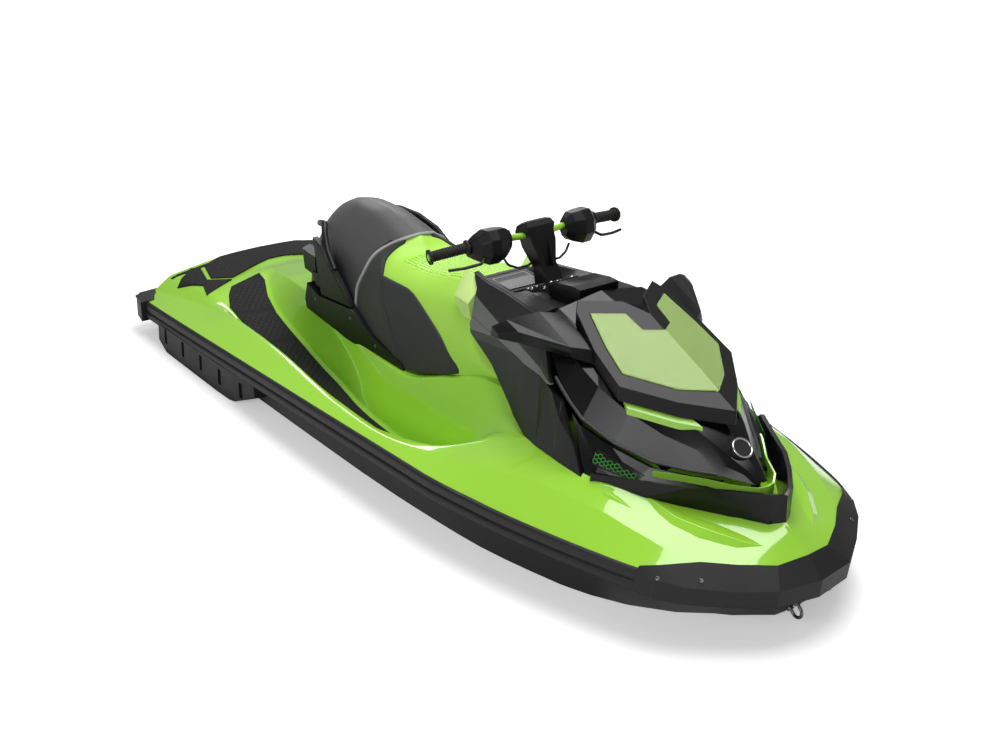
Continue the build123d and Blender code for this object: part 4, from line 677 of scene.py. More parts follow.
# ---------------------------------------------------------------- seat saddle
# The rider's seat: foam under a sewn marine-vinyl cover. Its dished top is dimpled for grip,
# its flanks are plain, and it climbs steeply at the back to meet the bolster.
SEAT_SECTIONS = [  # x, then (y, height) of the crown, brow, shoulder, side, flank and foot
    (-445, (0, 893), (60, 884), (130, 832), (185, 770), (215, 650), (232, 520)),
    (-400, (0, 899), (60, 889), (128, 836), (184, 775), (212, 670), (234, 520)),
    (-373, (0, 897), (60, 872), (126, 838), (183, 780), (210, 690), (235, 522)),
    (-345, (0, 873), (60, 852), (124, 838), (182, 785), (208, 700), (236, 522)),
    (-314, (0, 848), (60, 846), (122, 836), (180, 788), (206, 705), (236, 522)),
    (-184, (0, 852), (60, 850), (122, 840), (172, 796), (206, 705), (236, 518)),
    (-60, (0, 876), (60, 874), (116, 860), (168, 808), (206, 705), (232, 540)),
    (60, (0, 902), (60, 899), (112, 888), (164, 822), (208, 700), (230, 565)),
    (150, (0, 903), (60, 900), (112, 890), (172, 822), (216, 700), (228, 592)),
    (220, (0, 860), (60, 856), (104, 846), (180, 806), (222, 700), (220, 612)),
    (300, (0, 790), (60, 788), (100, 780), (170, 756), (222, 690), (212, 632)),
    (392, (0, 700), (60, 699), (96, 696), (150, 690), (200, 672), (200, 650))]
SEAT_ROUNDS = (46.0, 40.0, 34.0, 60.0)
SEAT_BACK, SEAT_FRONT, SEAT_PITCH = -440, 390, 10.0


def section_at(rows, x):
    """The corners of a table's section at x, every corner faired along the craft."""
    count = len(rows[0]) - 1
    return [(fair([(row[0], row[k + 1][0]) for row in rows], x),
             fair([(row[0], row[k + 1][1]) for row in rows], x)) for k in range(count)]


SEAT_TUCK = 6  # how far the cover turns under the seat's foot


def mirrored_ring(half):
    """A closed ring from the centreline out, under, and back up the other side."""
    x, y, height = half[-1]
    port = half + [(x, y * 0.5, height - SEAT_TUCK)]
    ring = port + [(x, 0.0, height - SEAT_TUCK)] + [(a, -b, c) for a, b, c in reversed(port[1:])]
    return [place(*point) for point in ring]


def seat_flank(x, height):
    """How far out the seat's side is at x and a height."""
    run = section_at(SEAT_SECTIONS, x)[2:]
    for (y0, h0), (y1, h1) in zip(run, run[1:]):
        if height >= h1:
            return y0 + (y1 - y0) * min(1.0, max(0.0, (h0 - height) / (h0 - h1)))
    return run[-1][0]


def dimpled_vinyl():
    """Grained vinyl with soft round dimples, darkened in their middles by painted shade, which fade
    out round the edge of the dished top.
    """
    material, add, sums, surface = shader("seat_green_vinyl", (0.36, 0.70, 0.07), 0.5,
                                          Specular_IOR_Level=0.4)
    where = add("ShaderNodeTexCoord")["Object"]
    apart = add("ShaderNodeSeparateXYZ", _0=where)
    spots = add("ShaderNodeTexVoronoi", {"voronoi_dimensions": "2D"}, Vector=where, Scale=72.0,
                Randomness=0.35)["Distance"]
    dot = add("ShaderNodeMapRange", {"interpolation_type": "SMOOTHSTEP"}, Value=spots,
              From_Min=0.16, From_Max=0.42)["Result"]
    depth = 0.9
    for value, edge, inside in ((apart["X"], -0.318, -0.306), (apart["X"], 0.150, 0.120),
                                (sums("ABSOLUTE", apart["Y"]), 0.128, 0.108)):
        depth = sums("MULTIPLY", add("ShaderNodeMapRange", Value=value, From_Min=edge,
                                     From_Max=inside)["Result"], depth)
    finish = grained(add, surface, (0.40, 0.74, 0.085, 1), 0.5, 0.08, 700.0, 0.0002)
    # Painted shade: each dimple's middle is darkened, and the land between the dimples is lifted a
    # little as a slight painted highlight.
    shade = add("ShaderNodeMixRGB", Fac=dot, Color1=(0.5, 0.64, 0.38, 1),
                Color2=(1.08, 1.08, 1.08, 1))["Color"]
    painted_dimple_shade = add("ShaderNodeMixRGB", {"blend_type": "MULTIPLY"}, Fac=depth,
               Color1=finish["Colour"], Color2=shade)["Color"]
    feed(surface, Base_Color=painted_dimple_shade, Normal=add("ShaderNodeBump", Strength=depth, Distance=0.003,
                                              Height=dot)["Normal"])
    return material


seat_rings = [mirrored_ring([(x, p.x, p.y) for p in rounded(section_at(SEAT_SECTIONS, x),
                                                            SEAT_ROUNDS)])
              for x in stations(SEAT_BACK, SEAT_FRONT, SEAT_PITCH)]
seat = fit("seat_saddle_cushion", solid_mesh("seat_saddle", *loft(seat_rings)), dimpled_vinyl(),
           "craft", ("seat_saddle",), smooth=40)

# ---------------------------------------------------------------- bolster, wings and piping
# The firm grey back rest behind the rider, with a piped seam where its cover meets the two
# knee wings, and a charcoal pad on each flank. All are foam under stretched vinyl.
BOLSTER_SECTIONS = [  # x, then (y, height) of the crown, brow, shoulder, side, flank and foot
    (-880, (0, 828), (50, 820), (96, 790), (146, 704), (166, 650), (174, 560)),
    (-850, (0, 897), (54, 888), (106, 848), (164, 746), (174, 670), (180, 560)),
    (-790, (0, 930), (58, 920), (116, 872), (178, 784), (184, 690), (188, 560)),
    (-700, (0, 946), (62, 934), (122, 880), (188, 796), (192, 700), (196, 556)),
    (-610, (0, 947), (64, 934), (124, 880), (192, 796), (200, 700), (204, 550)),
    (-520, (0, 935), (64, 922), (124, 872), (192, 790), (206, 690), (210, 540)),
    (-430, (0, 912), (62, 902), (122, 858), (188, 780), (208, 690), (216, 540)),
    (-370, (0, 897), (60, 888), (118, 852), (182, 775), (206, 690), (214, 540))]
PIPING = [(-373, 0, 898), (-385, 60, 888), (-419, 100, 864), (-438, 150, 832), (-451, 186, 776),
          (-478, 206, 694), (-480, 214, 600), (-482, 217, 560)]
WING_FRONT = [(-368, 0, 898), (-378, 60, 880), (-386, 130, 836), (-352, 178, 800),
              (-318, 200, 740), (-290, 212, 700), (-252, 222, 655), (-200, 232, 590),
              (-158, 237, 538)]


def flowing(points, count):
    """Evenly spaced points on a smooth curve through some 3-D points."""
    runs = [0.0]
    for a, b in zip(points, points[1:]):
        runs.append(runs[-1] + (Vector(b) - Vector(a)).length)
    return [Vector([fair([(run, point[axis]) for run, point in zip(runs, points)],
                         runs[-1] * i / count) for axis in range(3)]) for i in range(count + 1)]


def vinyl(name, colour, roughness):
    """Matt marine vinyl with a leathery grain."""
    return finished(name, colour, roughness, spread=0.12, grain=620, depth=0.00035,
                    Specular_IOR_Level=0.35, Sheen_Weight=0.12)


BOLSTER_ROUNDS = (60, 70, 50, 60)
BOLSTER_BACK, BOLSTER_ROWS = -880.0, 45
half_count = len(rounded(section_at(BOLSTER_SECTIONS, -500), BOLSTER_ROUNDS))
piping_line = flowing(PIPING, half_count - 1)
bolster_rings = []
for row in range(BOLSTER_ROWS + 1):
    half = []
    for k, seam_point in enumerate(piping_line):
        x = seam_point.x + (BOLSTER_BACK - seam_point.x) * row / BOLSTER_ROWS
        section = rounded(section_at(BOLSTER_SECTIONS, x), BOLSTER_ROUNDS)
        half.append((x, section[k].x, section[k].y))
    bolster_rings.append(mirrored_ring(half))
back_ring = bolster_rings[-1]
for share, aft in ((0.97, -884.0), (0.9, -887.0)):
    middle = place(aft, 0, 690)
    bolster_rings.append([Vector((middle.x, point.y * share,
                                  middle.z + (point.z - middle.z) * share))
                          for point in back_ring])
bolster = fit("bolster_cushion", solid_mesh("bolster", *loft(bolster_rings)),
              vinyl("bolster_vinyl", (0.058, 0.058, 0.060), 0.42), "craft",
              ("seat_bolster",), smooth=50)


def edge_profile(distance, reach, height, sink):
    """Height of a pad's cover at a distance in from its seam: it rolls over, then runs flat."""
    t = min(1.0, max(0.0, distance / reach))
    return -sink + (height + sink) * math.sqrt(t * (2 - t))


def crowded(count):
    """Shares from 0 to 1, closer together near both ends."""
    return [0.5 - 0.5 * math.cos(math.pi * i / count) for i in range(count + 1)]


PAD_DEPTH = 14.0


def pad_shell(surface_point, rows, columns):
    """A closed pad whose cover is surface_point(u, v, None) and whose back lies behind it."""
    vertices = [surface_point(u, v, lift) for lift in (None, -PAD_DEPTH) for u in crowded(rows)
                for v in crowded(columns)]
    wide, offset = columns + 1, (rows + 1) * (columns + 1)
    faces = []
    for i in range(rows):
        for j in range(columns):
            a, d = i * wide + j, (i + 1) * wide + j
            faces += [(a, a + 1, d + 1, d),
                      (a + offset, d + offset, d + 1 + offset, a + 1 + offset)]
    rim = ([(0, j) for j in range(columns)] + [(i, columns) for i in range(rows)]
           + [(rows, j) for j in range(columns, 0, -1)] + [(i, 0) for i in range(rows, 0, -1)])
    for (i, j), (k, m) in zip(rim, rim[1:] + rim[:1]):
        a, b = i * wide + j, k * wide + m
        faces.append((a, b, b + offset, a + offset))
    return vertices, faces


WING_STEPS, WING_WIDE = 40, 12
WING_START = 0.12  # how far down the piping the wing's top edge lies, as a share
WING_LEVEL, WING_LEAN, WING_DROOP = 560, 0.75, 40  # its cover faces up more, the higher it is
wing_back, wing_front = flowing(PIPING, WING_STEPS), flowing(WING_FRONT, WING_STEPS)


def wing_on(side):
    """A knee wing stretched between the piping and its own front edge."""
    def point(u, v, lift):
        at = (WING_START + (1 - WING_START) * u) * WING_STEPS
        i = min(int(at), WING_STEPS - 1)
        a, b = (line[i].lerp(line[i + 1], at - i) for line in (wing_back, wing_front))
        base = a.lerp(b, v)
        out = Vector((0.0, base.y, (base.z - WING_LEVEL) * WING_LEAN - WING_DROOP)).normalized()
        if lift is None:
            lift = edge_profile(min(v, 1 - v) * (a - b).length, reach=15.0, height=5.0, sink=5.0)
        base = base + out * lift
        return place(base.x, side * base.y, base.z)
    return pad_shell(point, WING_STEPS, WING_WIDE)


wings = fit("bolster_wings", both_flanks("knee_wings", wing_on),
            vinyl("wing_vinyl", (0.022, 0.025, 0.022), 0.6), "craft", smooth=50)

KNEE_FOOT, KNEE_TOP = 518, 786
PAD_REAR = [(518, -146), (535, -156), (590, -198), (655, -250), (700, -288), (740, -316),
            (786, -342)]
PAD_FRONT = [(518, -110), (540, -10), (560, 55), (590, 145), (614, 196), (627, 192), (660, 128),
             (700, 56), (740, -36), (765, -102), (780, -150), (786, -190)]


def knee_pad_on(side):
    """A knee pad laid on the seat's flank between its rear and front edges."""
    def point(u, v, lift):
        height = KNEE_FOOT + (KNEE_TOP - KNEE_FOOT) * u
        rear, front = fair(PAD_REAR, height), fair(PAD_FRONT, height)
        x = rear + (front - rear) * v
        if lift is None:
            inside = min((1 - v) * (front - rear), KNEE_TOP - height, 60)
            lift = edge_profile(inside, reach=12.0, height=6.0, sink=3.0)
        return place(x, side * (seat_flank(x, height) + lift), height)
    return pad_shell(point, 30, 26)


knees = fit("knee_pad_cushions", both_flanks("knee_pads", knee_pad_on),
            vinyl("knee_pad_vinyl", (0.021, 0.021, 0.024), 0.62), "craft",
            ("knee_pads",), smooth=50)


def bar_along(add, path, radius, sides):
    """A round bar along a curve, closed at its ends if the curve has any."""
    section = add("GeometryNodeCurvePrimitiveCircle", Resolution=sides, Radius=radius)["Curve"]
    return add("GeometryNodeCurveToMesh", Curve=path, Profile_Curve=section,
               Fill_Caps=True)["Mesh"]


def moulding_tree():
    """A round bar swept along each path, closed at its ends."""
    given, add, _, finish = node_tree("round_moulding", Radius="Float", Sides="Int",
                                      Material="Material")
    path = add("GeometryNodeMeshToCurve", Mesh=given["Geometry"])["Curve"]
    return finish(bar_along(add, path, given["Radius"], given["Sides"]))


MOULDING = moulding_tree()


def moulding(name, paths, radius, material, body, sides=10, smooth=None):
    """Fits round mouldings or piping along paths given in millimetres."""
    points, edges = [], []
    for path in paths:
        edges += [(len(points) + i, len(points) + i + 1) for i in range(len(path) - 1)]
        points += [place(*point) for point in path]
    fit(name, grown(name, MOULDING, points, edges, Radius=radius / 1000, Sides=sides,
                    Material=material), material, body, smooth=smooth)


SEAM_AFT, SEAM_UP, SEAM_OUT = 3.0, 1.0, 1.5  # how far the piping stands off the cover
seam = [(p.x - SEAM_AFT, p.y + SEAM_OUT, p.z + SEAM_UP) for p in flowing(PIPING, 60)]
seam = seam[::-1] + [(x, -y, h) for x, y, h in seam[1:]]
moulding("bolster_piping", [seam], 6.0, finished("piping_vinyl", (0.34, 0.34, 0.345), 0.4,
                                                 grain=700, depth=0.0002), "craft",
         smooth=60)

# ---------------------------------------------------------------- seat trims and grab handle
# Moulded side trims are bolted along the foot of the seat, and the passenger's handle rises
# from them round the back of the bolster.
trim_plastic = finished("trim_plastic", (0.006, 0.006, 0.0065), 0.38, grain=1100, depth=0.0002)
dress("seat_side_trims", trim_plastic, bevel=3.0, limit=18)
dress("grab_handle", trim_plastic, bevel=3.5, limit=24, smooth=40)
dress("tank_covers", finished("cover_green", (0.62, 0.86, 0.28), 0.3, grain=200, depth=0.00005,
                              Coat_Weight=0.5), bevel=1.5, limit=12)
TRIM_FACE = 246.3  # how far out the side trims' faces are
screws("trim_bolts", [((x, side * TRIM_FACE, h), (0, side, 0)) for side in (1, -1)
                      for x, h in ((-470, 596), (-300, 545), (-720, 592))], screw_steel, "craft",
       7.5)

# ---------------------------------------------------------------- console and side panels
# Injection-moulded covers clipped over the fuel filler and glove box: matt charcoal above,
# a paler silver-grey facet at the middle and satin black below, all slightly facetted.
def toned_panel(name, tones, slope, roughness):
    """Moulded plastic in bands of colour, parted by lines that fall along the craft."""
    material, add, sums, surface = shader(name, tones[0][1], roughness, Specular_IOR_Level=0.25)
    apart = add("ShaderNodeSeparateXYZ", _0=add("ShaderNodeTexCoord")["Object"])
    level = sums("MULTIPLY_ADD", apart["X"], slope, apart["Z"])
    bands = add("ShaderNodeValToRGB", Fac=level)["Color"]
    ramp = bands.node.color_ramp
    ramp.interpolation = "CONSTANT"
    while len(ramp.elements) < len(tones):
        ramp.elements.new(0.9)
    for stop, (start, colour) in zip(ramp.elements, tones):
        stop.position, stop.color = start, (*colour, 1)
    grained(add, surface, bands, roughness, 0.1, 1000.0, 0.00015)
    return material


matt_charcoal = finished("console_charcoal", (0.014, 0.014, 0.015), 0.4, grain=1100,
                         depth=0.00018)
satin_black = finished("satin_black", (0.0048, 0.0048, 0.0052), 0.32, grain=900, depth=0.0001)
dress("console_core", matt_charcoal, bevel=4.0, limit=16)
SILVER_GREY = (0.14, 0.14, 0.145)
dress("side_panels", toned_panel("side_panel_plastic", [
    (0.0, (0.0048, 0.0048, 0.0052)), (0.446, (0.034, 0.034, 0.036)), (0.474, SILVER_GREY)],
    -0.2, 0.3), bevel=3.0, limit=9, smooth=8)
dress("upper_panels", toned_panel("upper_panel_plastic", [
    (0.0, SILVER_GREY), (0.654, (0.018, 0.018, 0.0195))], 0.12, 0.34), bevel=3.0, limit=9, smooth=8)
dress("glovebox_tub", satin_black, bevel=1.5)
dress("glovebox_lid", matt_charcoal, bevel=2.0)
dress("gauge_cluster", satin_black, bevel=7.0, limit=10, segments=3)
dress("storage_bin", satin_black, bevel=1.5)

# The panels' upper edges roll over into sloped shoulders that meet the glove box's lid.
SHOULDER_AFT, SHOULDER_FORE, SHOULDER_PITCH = 158, 590, 24.0
SHOULDER_OUT = [(150, 134), (235, 150), (398, 176), (560, 204), (694, 226)]
SHOULDER_TOP = [(150, 944), (235, 938), (398, 948), (560, 950), (694, 938)]
CORE_TOP = [(128, 908), (300, 896), (443, 948), (560, 950), (690, 950)]


def shoulder_on(side):
    """One rolled shoulder, from the panel's outer face to the cover's middle."""
    rings = []
    for x in stations(SHOULDER_AFT, SHOULDER_FORE, SHOULDER_PITCH):
        out, top, core = (straight(line, x) for line in (SHOULDER_OUT, SHOULDER_TOP, CORE_TOP))
        inner = 92.0 + 0.1 * max(0.0, x - 300)
        rings.append([place(x, side * y, h) for y, h in (
            (out - 2, top - 14), (out + 1, top - 2), (out - 6, top + 2), (out - 18, top),
            (inner + 8, core + 5), (inner, core + 1), (inner, core - 12), (out - 20, top - 30))])
    return loft(rings)


fit("console_shoulders", both_flanks("console_shoulders", shoulder_on), matt_charcoal, "craft",
    smooth=20)


# A blank instruction plate with a fine pale border is glued to the glove box's lid.
def plate_height(x):
    """Height of the lid's sloping top."""
    return straight([(148, 904.6), (282, 899.2)], x)


PLATE_SUNK, PLATE_PROUD, BORDER_PROUD = -2, 0.6, 0.8
PLATE = [(160, -70), (268, -70), (268, 70), (160, 70)]
BORDER = [(164, -66), (264, -66), (264, 66), (164, 66), (164, -66)]
plate_rings = [[place(x, y, plate_height(x) + lift) for x, y in PLATE]
               for lift in (PLATE_SUNK, PLATE_PROUD)]
fit("glovebox_plate", solid_mesh("glovebox_plate", *loft(plate_rings)),
    finished("plate_film", (0.03, 0.03, 0.033), 0.3, grain=500, depth=0.00005), "glovebox_lid",
    bevel=0.3)
moulding("glovebox_plate_border", [[(x, y, plate_height(x) + BORDER_PROUD) for x, y in run]
                                   for run in zip(BORDER, BORDER[1:])], 1.3,
         finished("border_ink", (0.4, 0.4, 0.4), 0.5, grain=500, depth=0.00005), "glovebox_lid",
         sides=6)

# ---------------------------------------------------------------- steering base and handlebar
# A painted bracket carries the raked column. Its padded head clamps a green aluminium bar with
# ribbed rubber grips, faceted control pods, finger levers and their cables.
bracket_paint = finished("bracket_paint", (0.035, 0.037, 0.042), 0.34, grain=800, depth=0.0001,
                         Metallic=0.3)
dress("steering_base", bracket_paint, bevel=4.0, limit=14)
BRACKET_ROW, BRACKET_FACE = 42, 58.2  # how far out its top bolts and its side faces are
base_bolts = [((x, side * BRACKET_ROW, h), (-0.45, 0, 0.89)) for side in (1, -1)
              for x, h in ((330, 916.1), (376, 939.7), (450, 977.3))]
base_bolts += [((x, side * BRACKET_FACE, h), (0, side, 0)) for side in (1, -1)
               for x, h in ((372, 934), (438, 958))]
screws("bracket_bolts", base_bolts, finished("bright_steel", (0.6, 0.6, 0.6), 0.2, grain=500,
                                             depth=0.00005, Metallic=1.0), "craft",
       7.0, 4.0)
FORK_SLOT = ((372, 1000), (352, 1092), (412, 1122), (440, 1012))  # along and up
FORK_GAP = 30
fork_slot = solid_mesh("slot", *loft([[place(x, side * FORK_GAP / 2, h) for x, h in FORK_SLOT]
                                      for side in (-1, 1)]))
fit("steering_fork", cut(clean_copy("steering_column"), [fork_slot]), satin_black, "handlebar",
    ("steering_column",), bevel=3.0, limit=20, smooth=32.0)
dress("bar_pad", finished("bar_pad_foam", (0.007, 0.007, 0.0075), 0.55, grain=900, depth=0.0003),
      bevel=7.0, limit=12, segments=3)
dress("handlebar_tube", finished("bar_green", (0.33, 0.70, 0.05), 0.22, grain=300, depth=0.00003,
                                 Metallic=0.25, Coat_Weight=0.7), bevel=0, smooth=50)
POD_SECTIONS = [  # distance off the centreline, then middle (x, height) and half sizes
    (112, 314, 1096, 22, 32), (136, 312, 1094, 40, 50), (172, 314, 1090, 50, 58),
    (206, 312, 1090, 49, 58), (232, 300, 1086, 40, 42), (250, 286, 1082, 24, 26)]
POD_CORNERS = ((-1, -0.45), (-0.5, -1), (0.6, -0.92), (1, -0.3), (0.86, 0.5), (0.35, 1),
               (-0.55, 0.9), (-1, 0.35))  # shares of the half sizes


def pod_on(side):
    """An eight-sided pod, its sections spaced along the bar."""
    return loft([[place(x + along * deep, side * out, height + up * tall)
                  for along, up in POD_CORNERS] for out, x, height, deep, tall in POD_SECTIONS])


fit("control_pod_covers", both_flanks("control_pods", pod_on),
    finished("pod_plastic", (0.007, 0.007, 0.0075), 0.36, grain=1000, depth=0.0002), "handlebar",
    ("control_pods",), bevel=3.0, limit=10, smooth=12)
dress("levers", finished("lever_paint", (0.02, 0.02, 0.021), 0.3, grain=700, depth=0.0001),
      bevel=0, smooth=50)
dress("control_cables", finished("cable_sheath", (0.009, 0.009, 0.009), 0.45, grain=600,
                                 depth=0.0002), bevel=0, smooth=50)


def ribbed_rubber():
    """Matt rubber with fine moulded waves, worn a little smoother in places."""
    material, add, _, surface = shader("grip_rubber", (0.009, 0.009, 0.009), 0.68)
    where = add("ShaderNodeTexCoord")["Object"]
    ribs = add("ShaderNodeTexWave", {"bands_direction": "Y"}, Vector=where, Scale=34.0)["Fac"]
    lumps = add("ShaderNodeTexNoise", Vector=where, Scale=500.0)["Fac"]
    relief = add("ShaderNodeBump", Distance=0.0012, Height=ribs)["Normal"]
    feed(surface, Roughness=add("ShaderNodeMapRange", Value=lumps, To_Min=0.6,
                                To_Max=0.78)["Result"],
         Normal=add("ShaderNodeBump", Distance=0.0002, Height=lumps, Normal=relief)["Normal"])
    return material


dress("grips", ribbed_rubber(), bevel=2.0, smooth=50)


def rib_tree():
    """Rings at an even spacing along each path, as moulded round a grip."""
    given, add, _, finish = node_tree("grip_ribs", Radius="Float", Thickness="Float", Count="Int",
                                      Material="Material")
    path = add("GeometryNodeMeshToCurve", Mesh=given["Geometry"])["Curve"]
    spaced = add("GeometryNodeResampleCurve", Curve=path, Count=given["Count"])["Curve"]
    circle = add("GeometryNodeCurvePrimitiveCircle", Resolution=24,
                 Radius=given["Radius"])["Curve"]
    ring = bar_along(add, circle, given["Thickness"], 6)
    turned = add("FunctionNodeAlignRotationToVector", {"axis": "Z"},
                 Vector=add("GeometryNodeInputTangent")["Tangent"])
    return finish(add("GeometryNodeInstanceOnPoints", Points=spaced, Instance=ring,
                      Rotation=turned["Rotation"])["Instances"])


GRIP_AXIS = ((281.0, 266.0, 1087.8), (259.5, 366.0, 1075.2))  # its inner and outer ends
rib_paths = [place(x, side * y, h) for side in (1, -1) for x, y, h in GRIP_AXIS]
rib_rubber = finished("rib_rubber", (0.009, 0.009, 0.009), 0.68, grain=500, depth=0.0002)
fit("grip_ribs", grown("grip_ribs", rib_tree(), rib_paths, [(0, 1), (2, 3)], Radius=0.0168,
                       Thickness=0.0016, Count=13, Material=rib_rubber), rib_rubber, "handlebar")

# ---------------------------------------------------------------- hood
# A lifting nose cover of gloss black plastic, hinged at its tip. A dark frame round a tinted
# windshield is screwed to it, with a mirror on each side and a plain round boss on the ridge.
hood_black = finished("hood_black", (0.0035, 0.0035, 0.004), 0.2, grain=120, depth=0.00002,
                      Specular_IOR_Level=0.28)
dress("hood_shell", hood_black, bevel=3.0, limit=7, smooth=7)
dress("windshield_frame", finished("frame_plastic", (0.0065, 0.0065, 0.007), 0.32, grain=900,
                                   depth=0.0001), bevel=6.0, limit=14, segments=3)
dress("mirrors", finished("mirror_plastic", (0.0065, 0.0065, 0.007), 0.28, grain=800,
                          depth=0.0001), bevel=4.0, limit=10, segments=3)
dress("hood_boss", finished("boss_plate", (0.03, 0.03, 0.032), 0.25, grain=400, depth=0.00005),
      bevel=3.0, limit=30, segments=3)
BOSS_RING, RING_LIFT, RING_STEPS = 31.0, 13.5, 36
boss_centre, boss_out = Vector((1296, 0, 712)), Vector((0.62, 0, 0.78)).normalized()
boss_side, boss_up = Vector((0, 1, 0)), Vector((0.78, 0, -0.62)).normalized()
turns = [2 * math.pi * k / RING_STEPS for k in range(RING_STEPS + 1)]
moulding("boss_ring", [[boss_centre + boss_out * RING_LIFT + BOSS_RING * (
    boss_up * math.cos(turn) + boss_side * math.sin(turn)) for turn in turns]], 3.2,
         finished("boss_chrome", (0.8, 0.8, 0.8), 0.2, grain=400, depth=0.00003, Metallic=1.0),
         "hood")
lime_trim = finished("lime_trim", (0.36, 0.72, 0.07), 0.22, grain=200, depth=0.00003,
                     Coat_Weight=0.8)
dress("hood_strips", lime_trim, bevel=1.5, limit=20)
dress("nose_strips", lime_trim, bevel=2.0, limit=12)
dress("hood_hinge", satin_black, bevel=1.0)

# A polished moulding borders each side of the hood from under the mirror to the boss; its pale grey
# is a painted highlight along the hood's side seam.
HOOD_EDGE = [(800, 291, 838), (830, 295, 818), (875, 296, 786), (929, 293, 752), (1040, 259, 706),
             (1142, 199, 669), (1230, 139, 661), (1296, 86, 658)]
moulding("hood_edging", [[(x, side * (y + 1), h) for x, y, h in HOOD_EDGE] for side in (1, -1)],
         5.2, finished("edging_painted_highlight", (0.05, 0.05, 0.053), 0.14, grain=400, depth=0.00004),
         "hood", smooth=50)


def tinted_screen():
    """Clear green acrylic with faint level lines moulded in it."""
    material, add, _, surface = shader("tinted_screen", (0.62, 0.86, 0.24), 0.12, IOR=1.3,
                                       Transmission_Weight=0.7, Specular_IOR_Level=0.6)
    lines = add("ShaderNodeTexWave", {"bands_direction": "Z"}, Scale=150.0,
                Vector=add("ShaderNodeTexCoord")["Object"])["Fac"]
    shade = add("ShaderNodeMixRGB", Fac=lines, Color1=(0.56, 0.80, 0.24, 1),
                Color2=(0.72, 0.90, 0.42, 1))["Color"]
    feed(surface, Base_Color=shade,
         Normal=add("ShaderNodeBump", Distance=0.0001, Height=lines)["Normal"])
    return material


dress("windshield", tinted_screen(), bevel=3.0, limit=20)

# ---------------------------------------------------------------- nose fairings, grilles, apron
# Gloss black fairings fill between the hood and the deck, with a green mesh grille in a dark
# pocket on each flank. A black apron stands round the foot of the nose.
dress("nose_fairings", hood_black, bevel=2.5, limit=9, smooth=8)
dress("front_apron", hood_black, bevel=3.0, limit=9, smooth=8)
dress("grilles", satin_black, bevel=1.0)


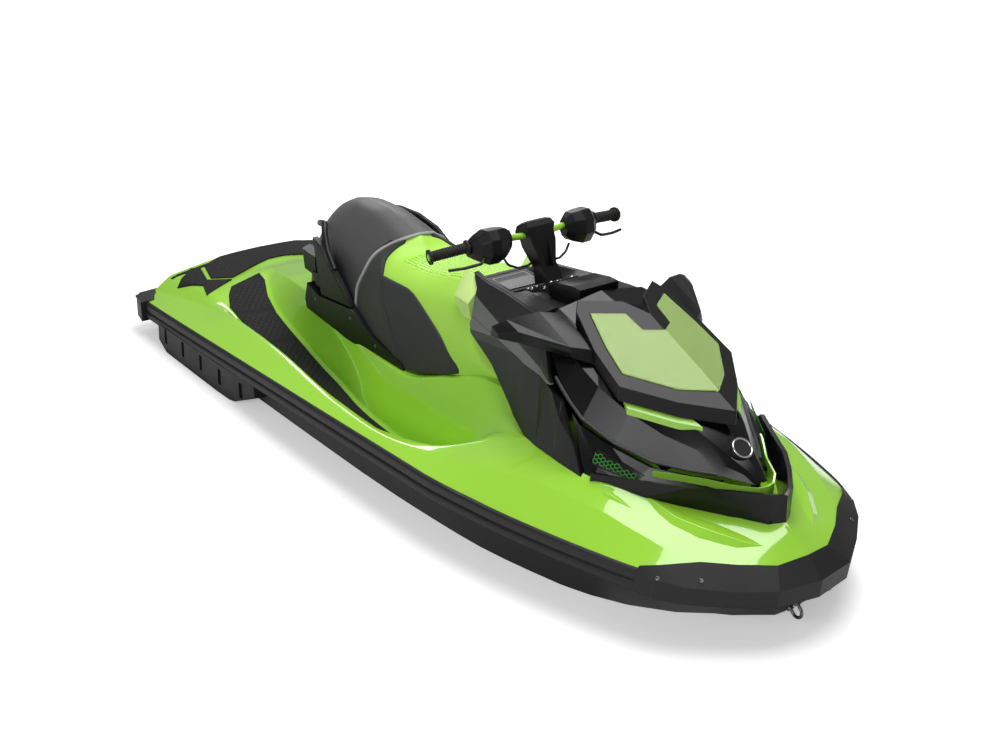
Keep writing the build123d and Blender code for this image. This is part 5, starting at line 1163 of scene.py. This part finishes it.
def honeycomb_tree():
    """A sheet of hexagons cut to the pocket's length and depth, laid over its four corners."""
    given, add, sums, finish = node_tree(
        "honeycomb", Cell="Float", Bar="Float", Length="Float", Low_Aft="Vector",
        High_Aft="Vector", Low_Fore="Vector", High_Fore="Vector", Material="Material")

    def between(a, b, share):
        return add("ShaderNodeMix", {"data_type": "VECTOR"}, _0=share, _4=a, _5=b)[1]

    columns, rows = 17, 7
    sheet = add("GeometryNodeMeshGrid", Vertices_X=columns, Vertices_Y=rows,
                Size_X=sums("MULTIPLY", given["Cell"], 1.5 * (columns - 1)),
                Size_Y=sums("MULTIPLY", given["Cell"], math.sqrt(3) * (rows - 1)))["Mesh"]
    index = add("GeometryNodeInputIndex")["Index"]
    column = sums("FLOOR", sums("DIVIDE", index, float(rows)))
    stagger = sums("MULTIPLY", sums("MODULO", column, 2.0), 0.5 * math.sqrt(3))
    shift = add("ShaderNodeCombineXYZ", X=sums("MULTIPLY", given["Cell"], 0.75 * (columns - 1)),
                Y=sums("MULTIPLY", given["Cell"], sums("ADD", stagger, 2.0)))["Vector"]
    middles = add("GeometryNodeSetPosition", Geometry=sheet, Offset=shift)["Geometry"]
    hexagon = add("GeometryNodeMeshCircle", Vertices=6, Radius=given["Cell"])["Mesh"]
    cells = add("GeometryNodeInstanceOnPoints", Points=middles, Instance=hexagon)["Instances"]
    cells = add("GeometryNodeRealizeInstances", Geometry=cells)["Geometry"]
    cells = add("GeometryNodeMergeByDistance", Geometry=cells,
                Distance=sums("MULTIPLY", given["Cell"], 0.1))["Geometry"]
    where = add("ShaderNodeSeparateXYZ", Vector=add("GeometryNodeInputPosition")["Position"])
    along = sums("DIVIDE", where["X"], given["Length"])
    low = between(given["Low_Aft"], given["Low_Fore"], along)
    high = between(given["High_Aft"], given["High_Fore"], along)
    depth = add("ShaderNodeVectorMath", {"operation": "DISTANCE"}, _0=low, _1=high)["Value"]
    across = sums("DIVIDE", where["Y"], depth)
    outside = sums("MAXIMUM", *[sums("ABSOLUTE", sums("SUBTRACT", share, 0.5))
                                for share in (along, across)])
    kept = add("GeometryNodeDeleteGeometry", Geometry=cells,
               Selection=sums("GREATER_THAN", outside, 0.5))["Geometry"]
    laid = add("GeometryNodeSetPosition", Geometry=kept,
               Position=between(low, high, across))["Geometry"]
    path = add("GeometryNodeMeshToCurve", Mesh=laid)["Curve"]
    port = bar_along(add, path, given["Bar"], 6)
    starboard = add("GeometryNodeTransform", Geometry=port, Scale=(1.0, -1.0, 1.0))["Geometry"]
    starboard = add("GeometryNodeFlipFaces", Mesh=starboard)["Mesh"]
    both = add("GeometryNodeJoinGeometry", Geometry=port)["Geometry"]
    feed(both.node, Geometry=starboard)
    return finish(both)


grille_green = finished("grille_green", (0.05, 0.40, 0.03), 0.35, grain=500, depth=0.0001)
honeycomb_mesh = grown(
    "grille_honeycomb", honeycomb_tree(), [(0, 0, 0)], Cell=0.00726, Bar=0.0011, Length=0.145,
    Low_Aft=place(1016, 326, 652), High_Aft=place(1016, 314, 686), Low_Fore=place(1146, 262, 622),
    High_Fore=place(1146, 250, 640), Material=grille_green)
fit("grille_honeycomb", honeycomb_mesh, grille_green, "craft")

# ---------------------------------------------------------------- jet drive, engine and fittings
# The pump, nozzle and intake grate are cast alloy, and the reverse gate and ride plate are
# painted castings. The impeller is polished stainless steel, the tow eyes are bent steel bar,
# and the engine's iron block stands in the hull.
cast_alloy = finished("cast_alloy", (0.45, 0.45, 0.46), 0.45, grain=420, depth=0.0004,
                      Metallic=1.0)
dress("pump_housing", cast_alloy, bevel=1.0, smooth=36)
dress("steering_nozzle", cast_alloy, bevel=1.0, smooth=36)
dress("reverse_gate", finished("gate_paint", (0.02, 0.02, 0.021), 0.4, grain=700, depth=0.0002),
      bevel=1.5, smooth=36)
dress("ride_plate", finished("plate_paint", (0.025, 0.025, 0.026), 0.45, grain=500,
                             depth=0.0003), bevel=2.0)
dress("intake_grate", cast_alloy, bevel=1.0)
dress("impeller", finished("polished_steel", (0.72, 0.72, 0.71), 0.14, grain=300,
                           depth=0.00004, Metallic=1.0), bevel=0.6, smooth=40)
dress("tow_eyes", finished("bent_steel", (0.20, 0.20, 0.205), 0.3, grain=500, depth=0.00004,
                           Metallic=1.0), bevel=0, smooth=50)
dress("engine_block", finished("engine_iron", (0.12, 0.12, 0.12), 0.55, grain=300, depth=0.0006,
                               Metallic=0.4), bevel=6.0)
